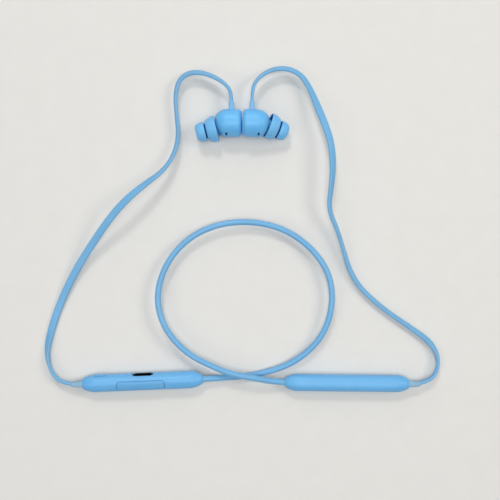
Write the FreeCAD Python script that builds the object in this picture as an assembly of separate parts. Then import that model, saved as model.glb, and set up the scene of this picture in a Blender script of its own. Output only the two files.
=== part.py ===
import FreeCAD, Part
import math
import os

from FreeCAD import Placement, Rotation, Vector

# Neckband earphones lying on a table: a control module and a battery module
# joined by a round neck cable, and an earbud on a flat ribbon from each.
# Millimetres, +Z up. The origin is the bottom centre of the modules and the
# earbuds. +X runs from the control module to the battery module.

X_AXIS = Vector(1, 0, 0)
Y_AXIS = Vector(0, 1, 0)
Z_AXIS = Vector(0, 0, 1)

# Modules: a rounded bar, drawn with its length on X, its rocker face on +Z
# and its port face on +Y.
SECTION = 8.1
SECTION_RADIUS = 3.7
WALL = 0.8
SEAM_Z = -2.4
CONTROL_LENGTH = 59.0
BATTERY_LENGTH = 60.8
CONTROL_CENTRE = Vector(-50.05, -65.0, 4.17)
CONTROL_YAW = 2.3
CONTROL_ROLL = 25.0
BATTERY_CENTRE = Vector(49.15, -65.75, 4.05)
BATTERY_YAW = -0.65

# Each end of a module draws in over a long nose; these points are measured
# from the end face, with y as the distance from the module's axis.
NOSE_LENGTH = 7.3
NOSE_MARGIN = 0.02
NOSE_SHOULDER = Vector(-1.86, 3.07, 0)
NOSE_END = Vector(0, 1.6, 0)

# Main board and what stands on it, in the control module's own frame.
BOARD_WIDTH = 3.9
BOARD_THICKNESS = 0.6
BOARD_TOP = -2.1
CONTROL_BOARD_LENGTH = 44.0
SHIELD_SIZE = Vector(8.0, 3.6, 1.1)
SHIELD_X = 17.8

# The port and the play button stand a little under the middle of the port face.
PORT_FACE_Z = -0.5

# Charging port: the standard 8.94 mm receptacle behind a pill-shaped cut-out.
PORT_X = 0.5
PORT_WIDTH = 8.94
PORT_HEIGHT = 3.2
PORT_WALL = 0.3
PORT_MOUTH_Y = 3.6
PORT_DEPTH = 6.15
PORT_OPENING_WIDTH = 10.4
PORT_OPENING_HEIGHT = 3.36
PORT_OPENING_DEPTH = 1.6
TONGUE_WIDTH = 6.69
TONGUE_THICKNESS = 0.7
TONGUE_LENGTH = 4.45

# Volume rocker: a long key on the +Z face that tips about its middle.
ROCKER_X = -0.5
ROCKER_LENGTH = 22.8
ROCKER_WIDTH = 4.6
ROCKER_CORNER = 1.4
ROCKER_PROUD = 0.1
ROCKER_GAP = 0.2
ROCKER_KEEPER_LENGTH = 25.4
ROCKER_KEEPER_WIDTH = 4.6
ROCKER_KEEPER_BOTTOM = 1.8
ROCKER_KEEPER_TOP = 2.1
ROCKER_POST_X = 9.0
ROCKER_POST_RADIUS = 0.8
VOLUME_SWITCH_SIZE = 3.0
VOLUME_SWITCH_TOP = 0.6
VOLUME_PLUNGER_TOP = 0.9
SWITCH_PLUNGER_RADIUS = 0.7
ROCKER_POST_GAP = 0.25

# Play button: a short key on the port face, pressed straight in.
PLAY_X = -20.0
PLAY_LENGTH = 5.4
PLAY_WIDTH = 1.9
PLAY_PROUD = 0.35
PLAY_GAP = 0.15
PLAY_KEEPER_EXTRA = 0.7
PLAY_KEEPER_INNER = 2.45
PLAY_KEEPER_OUTER = 2.85
PLAY_HOLE_START = 1.0
PLAY_SWITCH_SIZE = Vector(3.6, 2.9, 2.5)
PLAY_SWITCH_FACE = 1.75
PLAY_PLUNGER_END = 2.1

# Microphone and status light, both on the -Y face.
MIC_X = 12.0
MIC_HOLE_RADIUS = 0.4
MIC_SIZE = Vector(2.6, 1.1, 2.2)
MIC_FACE_Y = -2.7
MIC_MESH_RADIUS = 0.8
MIC_MESH_THICKNESS = 0.15
LIGHT_X = -14.0
LIGHT_RADIUS = 0.5
LIGHT_INNER_Y = -2.4

# Battery module's contents.
CELL_SIZE = Vector(42.0, 5.2, 4.6)
CELL_EDGE = 1.2
CELL_CENTRE = Vector(2.5, 0, 0.2)
PAD_SIZE = Vector(30.0, 3.2, 0.4)
BATTERY_BOARD_LENGTH = 5.0
BATTERY_BOARD_X = -21.4

# Cable exits of the modules.
COLLAR_RADIUS = 1.75
COLLAR_PROUD = 0.1
COLLAR_LENGTH = 2.6
SLEEVE_LENGTH = 4.8
SLEEVE_ROOT = 1.6
SLEEVE_WIDE = Vector(2.9, 4.6, 0)
SLEEVE_NARROW = Vector(2.2, 4.0, 0)
SLEEVE_EDGE = 1.0

# Cords. The ribbons are flat, 3.6 x 1.5 mm; here each is a plain round tube.
NECK_CABLE_DIAMETER = 2.9
RIBBON_TUBE_DIAMETER = 2.4
ARC_SHARE = 0.45

# Earbud: drawn with its back face on x = 0 and its axis on +X.
BUD_RADIUS = 6.6
BUD_EDGE = 1.9
BUD_SEAM = 1.1
BUD_WALL = 0.9
BARREL_END = 7.0
DOME_RADIUS = 6.3
DOME_FRONT_RADIUS = 3.0
NOZZLE_RADIUS = 2.6
NOZZLE_BORE = 1.7
NOZZLE_CONE_START = 5.6
NOZZLE_CONE_RADIUS = 3.5
NOZZLE_CONE_END = 8.2
NOZZLE_END = 12.4
BUD_SLEEVE_END = 10.25
BUD_SLEEVE_ROOT = 5.1
BUD_SLEEVE_WIDE = Vector(2.5, 4.4, 0)
BUD_SLEEVE_NARROW = Vector(2.1, 3.9, 0)
VENT_LENGTH = 2.9
VENT_WIDTH = 1.05
VENT_ANGLE = 65.0
VENT_MESH_SIZE = Vector(1.6, 3.0, 0.15)
VENT_MESH_TOP = 5.15
LATCH_RADIUS = 3.6
LATCH_START = 0.6
LATCH_END = 1.8
DRIVER_RADIUS = 4.9
DRIVER_BACK = 6.4
DRIVER_FRONT = 8.4
DRIVER_WALL = 0.4
DRIVER_MAGNET_RADIUS = 2.5
DRIVER_MAGNET_BACK = 5.4
DRIVER_MAGNET_FRONT = 7.8
DIAPHRAGM_THICKNESS = 0.15
MESH_RADIUS = 1.95
MESH_SEAT = 0.3
MESH_THICKNESS = 0.15
SPIGOT_GAP = 0.05
SPIGOT_WALL = 0.6

# The pair lies back to back, each placed by the centre of its back face.
# pivot is the point that the nozzle leans about, slant is how far it leans from
# the barrel's axis, and clock turns that lean from level towards the table.
LEFT_BUD = {
    "back": Vector(-1.95, 59.9, 6.67),
    "yaw": 0.0,
    "pivot": Vector(4.9, -0.9, 0),
    "slant": 13.5,
    "clock": 5.0,
    "sleeve_x": 4.85,
    "vent_x": 7.25,
}
RIGHT_BUD = {
    "back": Vector(-1.5, 59.85, 7.95),
    "yaw": -2.0,
    "pivot": Vector(5.5, 1.6, 0),
    "slant": 21.5,
    "clock": 34.0,
    "sleeve_x": 4.25,
    "vent_x": 7.95,
}

# Ear tip: two flanges on one stem, along the nozzle's axis.
TIP_RIM = 7.2
TIP_RIM_RADIUS = 6.2
TIP_SHOULDER = 12.1
TIP_SHOULDER_RADIUS = 4.5
TIP_SECOND_RIM = 12.55
TIP_SECOND_RADIUS = 4.6
TIP_END = 17.4
TIP_END_RADIUS = 3.1
TIP_BORE_CLEARANCE = 0.05
TIP_SEAT = 12.6
TIP_MOUTH_RADIUS = 1.8
TIP_STEM_START = 8.5
TIP_STEM_RADIUS = 3.3
TIP_FLANGE_WALL = 0.5
TIP_FLANGE_BULGE = 0.6
TIP_FLANGE_ROOT = 3.0
TIP_FLANGE_ROOT_LENGTH = 1.2


def rounded_box(length, width, height, radius):
    """Box about the origin with every edge rounded."""
    corner = Vector(-length / 2, -width / 2, -height / 2)
    box = Part.makeBox(length, width, height, corner)
    return box.makeFillet(radius, box.Edges)


def block(low, high):
    """Plain box between two opposite corners."""
    size = high - low
    return Part.makeBox(size.x, size.y, size.z, low)


def centred_block(size, centre):
    """Plain box of a given size about a centre."""
    return block(centre - size * 0.5, centre + size * 0.5)


def rod(radius, start, end):
    """Cylinder between two points."""
    return Part.makeCylinder(radius, (end - start).Length, start, end - start)


def outline(width, height, radius):
    """Closed rounded rectangle about the origin in the XY plane."""
    x, y = width / 2, height / 2
    slant = radius * (1 - math.sqrt(0.5))
    edges = []
    for sx, sy, along_x in ((1, 1, True), (-1, 1, False), (-1, -1, True), (1, -1, False)):
        corner = (Vector(sx * x, sy * (y - radius), 0), Vector(sx * (x - radius), sy * y, 0))
        first, last = corner if along_x else corner[::-1]
        middle = Vector(sx * (x - slant), sy * (y - slant), 0)
        if edges:
            edges.append(Part.LineSegment(edges[-1].Vertexes[-1].Point, first).toShape())
        edges.append(Part.Arc(first, middle, last).toShape())
    edges.append(Part.LineSegment(edges[-1].Vertexes[-1].Point, edges[0].Vertexes[0].Point).toShape())
    return Part.Wire(edges)


def plate(length, width, corner, depth):
    """Prism with rounded corners, length on X, rising from z = 0."""
    return Part.Face(outline(length, width, corner)).extrude(Vector(0, 0, depth))


def pill(length, width, depth):
    """Prism with round ends, length on X, rising from z = 0."""
    radius = width / 2
    half = length / 2 - radius
    edges = [
        Part.LineSegment(Vector(-half, -radius, 0), Vector(half, -radius, 0)).toShape(),
        Part.Arc(Vector(half, -radius, 0), Vector(half + radius, 0, 0), Vector(half, radius, 0)).toShape(),
        Part.LineSegment(Vector(half, radius, 0), Vector(-half, radius, 0)).toShape(),
        Part.Arc(Vector(-half, radius, 0), Vector(-half - radius, 0, 0), Vector(-half, -radius, 0)).toShape(),
    ]
    return Part.Face(Part.Wire(edges)).extrude(Vector(0, 0, depth))


def moved(shape, position, axis=X_AXIS, angle=0.0):
    """Copy of a shape, turned about the origin and then carried to a position."""
    copy = shape.copy()
    copy.Placement = Placement(position, Rotation(axis, angle)).multiply(copy.Placement)
    return copy


def port_face_pill(length, width, x, start_y, end_y):
    """Pill prism that runs along +Y through the port face."""
    return moved(pill(length, width, end_y - start_y), Vector(x, start_y, PORT_FACE_Z), X_AXIS, -90)


def tapered(wide, narrow, length, edge):
    """Sleeve solid that narrows along +Z from z = 0."""
    base = outline(wide.x, wide.y, edge)
    top = outline(narrow.x, narrow.y, edge)
    top.translate(Vector(0, 0, length))
    return Part.makeLoft([base, top], True)


def revolved(edges):
    """Solid turned about the X axis from a closed profile in the XY half plane."""
    face = Part.Face(Part.Wire(edges))
    return face.revolve(Vector(0, 0, 0), X_AXIS, 360)


def polygon_edges(points):
    """Closed chain of straight edges through (x, radius) points."""
    corners = [Vector(x, r, 0) for x, r in points]
    return [Part.LineSegment(a, b).toShape() for a, b in zip(corners, corners[1:] + corners[:1])]


def export(name, shape):
    """Writes one sub-part and reports a shape that isn't a set of closed solids."""
    solids = shape.Solids
    if not solids or not shape.isValid():
        print("CHECK", name, "solids", len(solids), "valid", shape.isValid())
    result = solids[0] if len(solids) == 1 else Part.makeCompound(solids)
    result.exportStep("parts/%s.step" % name)
    return result


# ---------------------------------------------------------------- modules

def nose_arcs(grow):
    """Two tangent arcs from the full bar in to its end face, as start, middle and end points."""
    corner_reach = (SECTION / 2 - SECTION_RADIUS) * math.sqrt(2) + SECTION_RADIUS
    start = Vector(-NOSE_LENGTH, corner_reach + NOSE_MARGIN, 0)
    inward = Vector(0, -1, 0)
    arcs = []
    for end in (NOSE_SHOULDER, NOSE_END):
        chord = end - start
        radius = chord.dot(chord) / (2 * inward.dot(chord))
        centre = start + inward * radius
        bisector = (start - centre) + (end - centre)
        middle = centre + bisector.normalize() * radius
        share = (radius + grow) / radius
        arcs.append([centre + (point - centre) * share for point in (start, middle, end)])
        inward = (centre - end).normalize()
        start = end
    return arcs


def module_bar(length, grow=0.0):
    """Solid bar with the module's outer form, grown or shrunk all round."""
    size = SECTION + 2 * grow
    section = Part.Face(outline(size, size, SECTION_RADIUS + grow))
    bar = moved(section, Vector(-length, 0, 0), Y_AXIS, 90).extrude(Vector(2 * length, 0, 0))
    right = [[Vector(length / 2 + p.x, p.y, 0) for p in arc] for arc in nose_arcs(grow)]
    left = [[Vector(-p.x, p.y, 0) for p in reversed(arc)] for arc in reversed(right)]
    first, last = left[0][0], right[-1][-1]
    edges = [Part.LineSegment(Vector(first.x, 0, 0), first).toShape()]
    edges += [Part.Arc(*arc).toShape() for arc in left]
    edges.append(Part.LineSegment(left[-1][-1], right[0][0]).toShape())
    edges += [Part.Arc(*arc).toShape() for arc in right]
    edges.append(Part.LineSegment(last, Vector(last.x, 0, 0)).toShape())
    edges.append(Part.LineSegment(Vector(last.x, 0, 0), Vector(first.x, 0, 0)).toShape())
    return bar.common(revolved(edges))


def module_shells(length):
    """Deep housing and shallow base cover of one module."""
    shell = module_bar(length).cut(module_bar(length, -WALL))
    reach = Vector(length, SECTION, SECTION)
    housing = shell.common(block(Vector(-reach.x, -reach.y, SEAM_Z), reach))
    cover = shell.common(block(Vector(-reach.x, -reach.y, -reach.z), Vector(reach.x, reach.y, SEAM_Z)))
    return housing, cover


def cable_exit(length, side):
    """Rod that fills the neck cable's hole, on the module's end of one side."""
    outer = Vector(side * (length / 2 + COLLAR_PROUD), 0, 0)
    inner = Vector(side * (length / 2 + COLLAR_PROUD - COLLAR_LENGTH), 0, 0)
    return rod(COLLAR_RADIUS, inner, outer)


def neck_collar(length, side):
    """Thin ring in that hole, close round the neck cable."""
    middle = Vector(side * length / 2, 0, 0)
    reach = Vector(COLLAR_LENGTH, 0, 0)
    return cable_exit(length, side).cut(rod(NECK_CABLE_DIAMETER / 2, middle - reach, middle + reach))


def ribbon_sleeve(length, side, roll):
    """Tapered soft sleeve that holds the ribbon on edge, upright on the table."""
    body = tapered(SLEEVE_WIDE, SLEEVE_NARROW, SLEEVE_LENGTH + SLEEVE_ROOT, SLEEVE_EDGE)
    lying = moved(body, Vector(0, 0, 0), Y_AXIS, 90)
    upright = moved(lying, Vector(0, 0, 0), X_AXIS, 90)
    facing = upright if side > 0 else moved(upright, Vector(0, 0, 0), Z_AXIS, 180)
    rolled = moved(facing, Vector(0, 0, 0), X_AXIS, -roll)
    rolled.translate(Vector(side * (length / 2 - SLEEVE_ROOT), 0, 0))
    return rolled


def control_board():
    """Main board along the module, just above the base cover."""
    size = Vector(CONTROL_BOARD_LENGTH, BOARD_WIDTH, BOARD_THICKNESS)
    return centred_block(size, Vector(0, 0, BOARD_TOP - BOARD_THICKNESS / 2))


def charging_port():
    """Receptacle shell with its back wall, and the tongue inside it."""
    back = PORT_MOUTH_Y - PORT_DEPTH
    outer = port_face_pill(PORT_WIDTH, PORT_HEIGHT, PORT_X, back, PORT_MOUTH_Y)
    inner_width = PORT_WIDTH - 2 * PORT_WALL
    inner_height = PORT_HEIGHT - 2 * PORT_WALL
    hollow = port_face_pill(inner_width, inner_height, PORT_X, back + PORT_WALL, PORT_MOUTH_Y + WALL)
    tongue_size = Vector(TONGUE_WIDTH, TONGUE_LENGTH, TONGUE_THICKNESS)
    tongue_centre = Vector(PORT_X, back + PORT_WALL + TONGUE_LENGTH / 2, PORT_FACE_Z)
    return outer.cut(hollow), centred_block(tongue_size, tongue_centre)


def volume_rocker():
    """Rocker key with its keeper flange and two posts."""
    key = plate(ROCKER_LENGTH, ROCKER_WIDTH, ROCKER_CORNER, SECTION)
    key.translate(Vector(ROCKER_X, 0, ROCKER_KEEPER_TOP))
    key = key.common(module_bar(CONTROL_LENGTH, ROCKER_PROUD))
    keeper = pill(ROCKER_KEEPER_LENGTH, ROCKER_KEEPER_WIDTH, ROCKER_KEEPER_TOP - ROCKER_KEEPER_BOTTOM)
    keeper.translate(Vector(ROCKER_X, 0, ROCKER_KEEPER_BOTTOM))
    posts = []
    for side in (-1, 1):
        x = ROCKER_X + side * ROCKER_POST_X
        bottom = Vector(x, 0, VOLUME_PLUNGER_TOP + ROCKER_POST_GAP)
        posts.append(rod(ROCKER_POST_RADIUS, bottom, Vector(x, 0, ROCKER_KEEPER_TOP)))
    return key.fuse([keeper] + posts).removeSplitter()


def volume_switches():
    """Two tall switches on the board, one under each post of the rocker."""
    switches = []
    for side in (-1, 1):
        x = ROCKER_X + side * ROCKER_POST_X
        half = VOLUME_SWITCH_SIZE / 2
        body = block(Vector(x - half, -half, BOARD_TOP), Vector(x + half, half, VOLUME_SWITCH_TOP))
        plunger = rod(SWITCH_PLUNGER_RADIUS, Vector(x, 0, BOARD_TOP), Vector(x, 0, VOLUME_PLUNGER_TOP))
        switches.append(body.fuse(plunger).removeSplitter())
    return Part.makeCompound(switches)


def play_button():
    """Short key with a keeper flange inside the wall."""
    key = port_face_pill(PLAY_LENGTH, PLAY_WIDTH, PLAY_X, PLAY_KEEPER_INNER, SECTION)
    key = key.common(module_bar(CONTROL_LENGTH, PLAY_PROUD))
    keeper = port_face_pill(
        PLAY_LENGTH + PLAY_KEEPER_EXTRA,
        PLAY_WIDTH + PLAY_KEEPER_EXTRA,
        PLAY_X,
        PLAY_KEEPER_INNER,
        PLAY_KEEPER_OUTER,
    )
    return key.fuse(keeper).removeSplitter()


def play_switch():
    """Side-facing switch behind the play button."""
    size = PLAY_SWITCH_SIZE
    centre = Vector(PLAY_X, PLAY_SWITCH_FACE - size.y / 2, BOARD_TOP + size.z / 2)
    body = centred_block(size, centre)
    plunger_start = Vector(PLAY_X, 0, PORT_FACE_Z)
    plunger = rod(SWITCH_PLUNGER_RADIUS, plunger_start, Vector(PLAY_X, PLAY_PLUNGER_END, PORT_FACE_Z))
    return body.fuse(plunger).removeSplitter()


def control_module():
    """All pieces of the control module in its own frame."""
    housing, cover = module_shells(CONTROL_LENGTH)
    collar = neck_collar(CONTROL_LENGTH, 1)
    sleeve = ribbon_sleeve(CONTROL_LENGTH, -1, CONTROL_ROLL)
    port_floor = PORT_MOUTH_Y - PORT_OPENING_DEPTH
    port_hole = port_face_pill(PORT_OPENING_WIDTH, PORT_OPENING_HEIGHT, PORT_X, port_floor, SECTION)
    slot_width = ROCKER_WIDTH + 2 * ROCKER_GAP
    rocker_slot = plate(ROCKER_LENGTH + 2 * ROCKER_GAP, slot_width, ROCKER_CORNER + ROCKER_GAP, SECTION)
    rocker_slot.translate(Vector(ROCKER_X, 0, ROCKER_KEEPER_BOTTOM))
    play_size = (PLAY_LENGTH + 2 * PLAY_GAP, PLAY_WIDTH + 2 * PLAY_GAP)
    play_hole = port_face_pill(*play_size, PLAY_X, PLAY_HOLE_START, SECTION)
    mic_hole = rod(MIC_HOLE_RADIUS, Vector(MIC_X, -SECTION, 0), Vector(MIC_X, 0, 0))
    light = rod(LIGHT_RADIUS, Vector(LIGHT_X, -SECTION, 0), Vector(LIGHT_X, LIGHT_INNER_Y, 0))
    light = light.common(module_bar(CONTROL_LENGTH))
    exits = [cable_exit(CONTROL_LENGTH, 1), sleeve]
    housing = housing.cut(exits + [port_hole, rocker_slot, play_hole, mic_hole, light])
    port_shell, port_tongue = charging_port()
    shield = centred_block(SHIELD_SIZE, Vector(SHIELD_X, 0, BOARD_TOP + SHIELD_SIZE.z / 2))
    mic_centre = Vector(MIC_X, MIC_FACE_Y + MIC_SIZE.y / 2, 0)
    mesh_outer = Vector(MIC_X, MIC_FACE_Y - MIC_MESH_THICKNESS, 0)
    return {
        "control_housing": housing,
        "control_base_cover": cover.cut([sleeve]),
        "control_neck_collar": collar,
        "control_ribbon_sleeve": sleeve,
        "control_board": control_board(),
        "usb_c_shell": port_shell,
        "usb_c_tongue": port_tongue,
        "radio_shield": shield,
        "volume_rocker": volume_rocker(),
        "volume_switches": volume_switches(),
        "play_button": play_button(),
        "play_switch": play_switch(),
        "microphone": centred_block(MIC_SIZE, mic_centre),
        "microphone_mesh": rod(MIC_MESH_RADIUS, mesh_outer, Vector(MIC_X, MIC_FACE_Y, 0)),
        "status_light": light,
    }


def battery_module():
    """All pieces of the battery module in its own frame."""
    housing, cover = module_shells(BATTERY_LENGTH)
    collar = neck_collar(BATTERY_LENGTH, -1)
    sleeve = ribbon_sleeve(BATTERY_LENGTH, 1, 0)
    cell = rounded_box(CELL_SIZE.x, CELL_SIZE.y, CELL_SIZE.z, CELL_EDGE)
    cell.translate(CELL_CENTRE)
    pad_z = CELL_CENTRE.z - CELL_SIZE.z / 2 - PAD_SIZE.z / 2
    board_size = Vector(BATTERY_BOARD_LENGTH, BOARD_WIDTH, BOARD_THICKNESS)
    board_centre = Vector(BATTERY_BOARD_X, 0, BOARD_TOP - BOARD_THICKNESS / 2)
    return {
        "battery_housing": housing.cut([cable_exit(BATTERY_LENGTH, -1), sleeve]),
        "battery_base_cover": cover.cut([sleeve]),
        "battery_neck_collar": collar,
        "battery_ribbon_sleeve": sleeve,
        "battery_cell": cell,
        "cell_foam_pad": centred_block(PAD_SIZE, Vector(CELL_CENTRE.x, 0, pad_z)),
        "battery_board": centred_block(board_size, board_centre),
    }


def module_placement(centre, yaw, roll):
    """Placement that rolls a module about its length and then turns it on the table."""
    return Placement(centre, Rotation(Z_AXIS, yaw).multiply(Rotation(X_AXIS, roll)))


# ---------------------------------------------------------------- earbuds

def nozzle_axis(bud):
    """Direction of the nozzle in the earbud's own frame."""
    slant = math.radians(bud["slant"])
    turn = math.radians(bud["clock"])
    return Vector(math.cos(slant), -math.sin(slant) * math.cos(turn), -math.sin(slant) * math.sin(turn))


def on_nozzle(shape, bud):
    """Carries a shape drawn along +X from the origin onto the nozzle's axis."""
    turn = Rotation(X_AXIS, nozzle_axis(bud))
    copy = shape.copy()
    copy.Placement = Placement(bud["pivot"], turn).multiply(copy.Placement)
    return copy


def dome(wall, front_radius):
    """Domed profile one wall inside the outer form: barrel's end, middle and front point."""
    radius = DOME_RADIUS - wall
    centre = Vector(BARREL_END, BUD_RADIUS - DOME_RADIUS, 0)
    last = math.acos((front_radius - centre.y) / radius)
    points = []
    for angle in (0, last / 2, last):
        points.append(centre + Vector(radius * math.sin(angle), radius * math.cos(angle), 0))
    return points


def bud_body():
    """Solid barrel with a rounded back edge and a domed front."""
    centre = Vector(BUD_EDGE, BUD_RADIUS - BUD_EDGE, 0)
    diagonal = BUD_EDGE * math.sqrt(0.5)
    edge_start = Vector(0, centre.y, 0)
    edge_mid = centre + Vector(-diagonal, diagonal, 0)
    edge_end = Vector(BUD_EDGE, BUD_RADIUS, 0)
    barrel_end, dome_mid, dome_end = dome(0, DOME_FRONT_RADIUS)
    front = Vector(dome_end.x, 0, 0)
    edges = [
        Part.LineSegment(Vector(0, 0, 0), edge_start).toShape(),
        Part.Arc(edge_start, edge_mid, edge_end).toShape(),
        Part.LineSegment(edge_end, barrel_end).toShape(),
        Part.Arc(barrel_end, dome_mid, dome_end).toShape(),
        Part.LineSegment(dome_end, front).toShape(),
        Part.LineSegment(front, Vector(0, 0, 0)).toShape(),
    ]
    return revolved(edges)


def bud_hollow():
    """Space inside the front shell, one wall in from the barrel and the dome."""
    start = Vector(BUD_SEAM, BUD_RADIUS - BUD_WALL, 0)
    barrel_end, dome_mid, dome_end = dome(BUD_WALL, DOME_FRONT_RADIUS - BUD_WALL / 2)
    edges = [
        Part.LineSegment(Vector(BUD_SEAM, 0, 0), start).toShape(),
        Part.LineSegment(start, barrel_end).toShape(),
        Part.Arc(barrel_end, dome_mid, dome_end).toShape(),
        Part.LineSegment(dome_end, Vector(dome_end.x, 0, 0)).toShape(),
        Part.LineSegment(Vector(dome_end.x, 0, 0), Vector(BUD_SEAM, 0, 0)).toShape(),
    ]
    return revolved(edges)


def nozzle(bud):
    """Cone and tube that stand out of the dome."""
    points = [
        (NOZZLE_CONE_START, 0),
        (NOZZLE_CONE_START, NOZZLE_CONE_RADIUS),
        (NOZZLE_CONE_END, NOZZLE_RADIUS),
        (NOZZLE_END, NOZZLE_RADIUS),
        (NOZZLE_END, 0),
    ]
    return on_nozzle(revolved(polygon_edges(points)), bud)


def nozzle_bore(bud):
    """Sound bore with the wider seat of the mesh at its end."""
    points = [
        (NOZZLE_CONE_START - 2, 0),
        (NOZZLE_CONE_START - 2, NOZZLE_BORE),
        (NOZZLE_END - MESH_SEAT, NOZZLE_BORE),
        (NOZZLE_END - MESH_SEAT, MESH_RADIUS),
        (NOZZLE_END + 1, MESH_RADIUS),
        (NOZZLE_END + 1, 0),
    ]
    return on_nozzle(revolved(polygon_edges(points)), bud)


def bud_sleeve(bud):
    """Tapered sleeve on the barrel's +Y side."""
    body = tapered(BUD_SLEEVE_WIDE, BUD_SLEEVE_NARROW, BUD_SLEEVE_END - BUD_SLEEVE_ROOT, SLEEVE_EDGE)
    return moved(body, Vector(bud["sleeve_x"], BUD_SLEEVE_ROOT, 0), X_AXIS, -90)


def on_barrel(shape):
    """Turns a piece drawn on the barrel's top towards -Y, to the vent's place."""
    return moved(shape, Vector(0, 0, 0), X_AXIS, VENT_ANGLE)


def vent_hole(bud):
    """Pressure vent through the barrel's wall, its long side round the barrel."""
    hole = moved(pill(VENT_LENGTH, VENT_WIDTH, 3 * BUD_WALL), Vector(0, 0, 0), Z_AXIS, 90)
    hole.translate(Vector(bud["vent_x"], 0, BUD_RADIUS - 2 * BUD_WALL))
    return on_barrel(hole)


def vent_mesh(bud):
    """Small plate of mesh behind the vent."""
    centre = Vector(bud["vent_x"], 0, VENT_MESH_TOP - VENT_MESH_SIZE.z / 2)
    return on_barrel(centred_block(VENT_MESH_SIZE, centre))


def back_cap():
    """Round-edged cap with a locating spigot and the magnet's pocket."""
    cap = bud_body().common(block(Vector(0, -BUD_RADIUS, -BUD_RADIUS), Vector(BUD_SEAM, BUD_RADIUS, BUD_RADIUS)))
    spigot_radius = BUD_RADIUS - BUD_WALL - SPIGOT_GAP
    spigot = rod(spigot_radius, Vector(BUD_SEAM, 0, 0), Vector(LATCH_END, 0, 0))
    spigot = spigot.cut(rod(spigot_radius - SPIGOT_WALL, Vector(0, 0, 0), Vector(LATCH_END + 1, 0, 0)))
    pocket = rod(LATCH_RADIUS, Vector(LATCH_START, 0, 0), Vector(LATCH_END, 0, 0))
    return cap.fuse(spigot).cut(pocket).removeSplitter()


def driver():
    """Basket, magnet and diaphragm of the sound driver."""
    basket = rod(DRIVER_RADIUS, Vector(DRIVER_BACK, 0, 0), Vector(DRIVER_FRONT, 0, 0))
    floor = DRIVER_BACK + DRIVER_WALL
    basket = basket.cut(rod(DRIVER_RADIUS - DRIVER_WALL, Vector(floor, 0, 0), Vector(DRIVER_FRONT, 0, 0)))
    basket = basket.cut(rod(DRIVER_MAGNET_RADIUS, Vector(0, 0, 0), Vector(DRIVER_FRONT, 0, 0)))
    magnet = rod(DRIVER_MAGNET_RADIUS, Vector(DRIVER_MAGNET_BACK, 0, 0), Vector(DRIVER_MAGNET_FRONT, 0, 0))
    sheet_start = Vector(DRIVER_FRONT - DIAPHRAGM_THICKNESS, 0, 0)
    diaphragm = rod(DRIVER_RADIUS - DRIVER_WALL, sheet_start, Vector(DRIVER_FRONT, 0, 0))
    return basket, magnet, diaphragm


def flange_edges(rim, radius, shoulder, neck_radius):
    """Bell profile from its rim near the earbud to where it joins the stem."""
    wall = TIP_FLANGE_WALL
    outer_mid = Vector(rim + 0.55 * (shoulder - rim), (radius + neck_radius) / 2 + TIP_FLANGE_BULGE, 0)
    inner_mid = outer_mid - Vector(0.3 * wall, 1.5 * wall, 0)
    points = [Vector(rim, radius, 0), Vector(shoulder, neck_radius, 0), Vector(shoulder, TIP_FLANGE_ROOT, 0)]
    inner_end = Vector(shoulder - TIP_FLANGE_ROOT_LENGTH, TIP_FLANGE_ROOT, 0)
    inner_start = Vector(rim, radius - wall, 0)
    return [
        Part.Arc(points[0], outer_mid, points[1]).toShape(),
        Part.LineSegment(points[1], points[2]).toShape(),
        Part.LineSegment(points[2], inner_end).toShape(),
        Part.Arc(inner_end, inner_mid, inner_start).toShape(),
        Part.LineSegment(inner_start, points[0]).toShape(),
    ]


def ear_tip(bud):
    """Soft tip: bored stem, wide flange near the earbud, small flange at the end."""
    bore = NOZZLE_RADIUS + TIP_BORE_CLEARANCE
    stem_points = [
        (TIP_STEM_START, bore),
        (TIP_STEM_START, TIP_STEM_RADIUS),
        (TIP_END, TIP_END_RADIUS),
        (TIP_END, TIP_MOUTH_RADIUS),
        (TIP_SEAT, TIP_MOUTH_RADIUS),
        (TIP_SEAT, bore),
    ]
    stem = revolved(polygon_edges(stem_points))
    wide = revolved(flange_edges(TIP_RIM, TIP_RIM_RADIUS, TIP_SHOULDER, TIP_SHOULDER_RADIUS))
    small = revolved(flange_edges(TIP_SECOND_RIM, TIP_SECOND_RADIUS, TIP_END, TIP_END_RADIUS))
    return on_nozzle(stem.fuse([wide, small]).removeSplitter(), bud)


def earbud(bud):
    """All pieces of one earbud in its own frame."""
    front_half = block(Vector(BUD_SEAM, -BUD_RADIUS, -BUD_RADIUS), Vector(2 * BUD_RADIUS, BUD_RADIUS, BUD_RADIUS))
    shell = bud_body().common(front_half).fuse(nozzle(bud))
    sleeve = bud_sleeve(bud)
    shell = shell.cut([bud_hollow(), nozzle_bore(bud), vent_hole(bud), sleeve])
    basket, magnet, diaphragm = driver()
    mesh_start = NOZZLE_END - MESH_SEAT
    mesh = rod(MESH_RADIUS, Vector(mesh_start, 0, 0), Vector(mesh_start + MESH_THICKNESS, 0, 0))
    return {
        "front_shell": shell,
        "back_cap": back_cap(),
        "latch_magnet": rod(LATCH_RADIUS, Vector(LATCH_START, 0, 0), Vector(LATCH_END, 0, 0)),
        "driver_basket": basket,
        "driver_magnet": magnet,
        "driver_diaphragm": diaphragm,
        "nozzle_mesh": on_nozzle(mesh, bud),
        "vent_mesh": vent_mesh(bud),
        "bud_cable_sleeve": sleeve,
        "ear_tip": ear_tip(bud),
    }


def bud_placement(bud):
    """Placement of an earbud by its back face and its yaw."""
    return Placement(bud["back"], Rotation(Z_AXIS, bud["yaw"]))


def mirrored(shape):
    """Left-hand copy of an earbud piece."""
    return shape.mirror(Vector(0, 0, 0), X_AXIS)


# ---------------------------------------------------------------- cords

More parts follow.
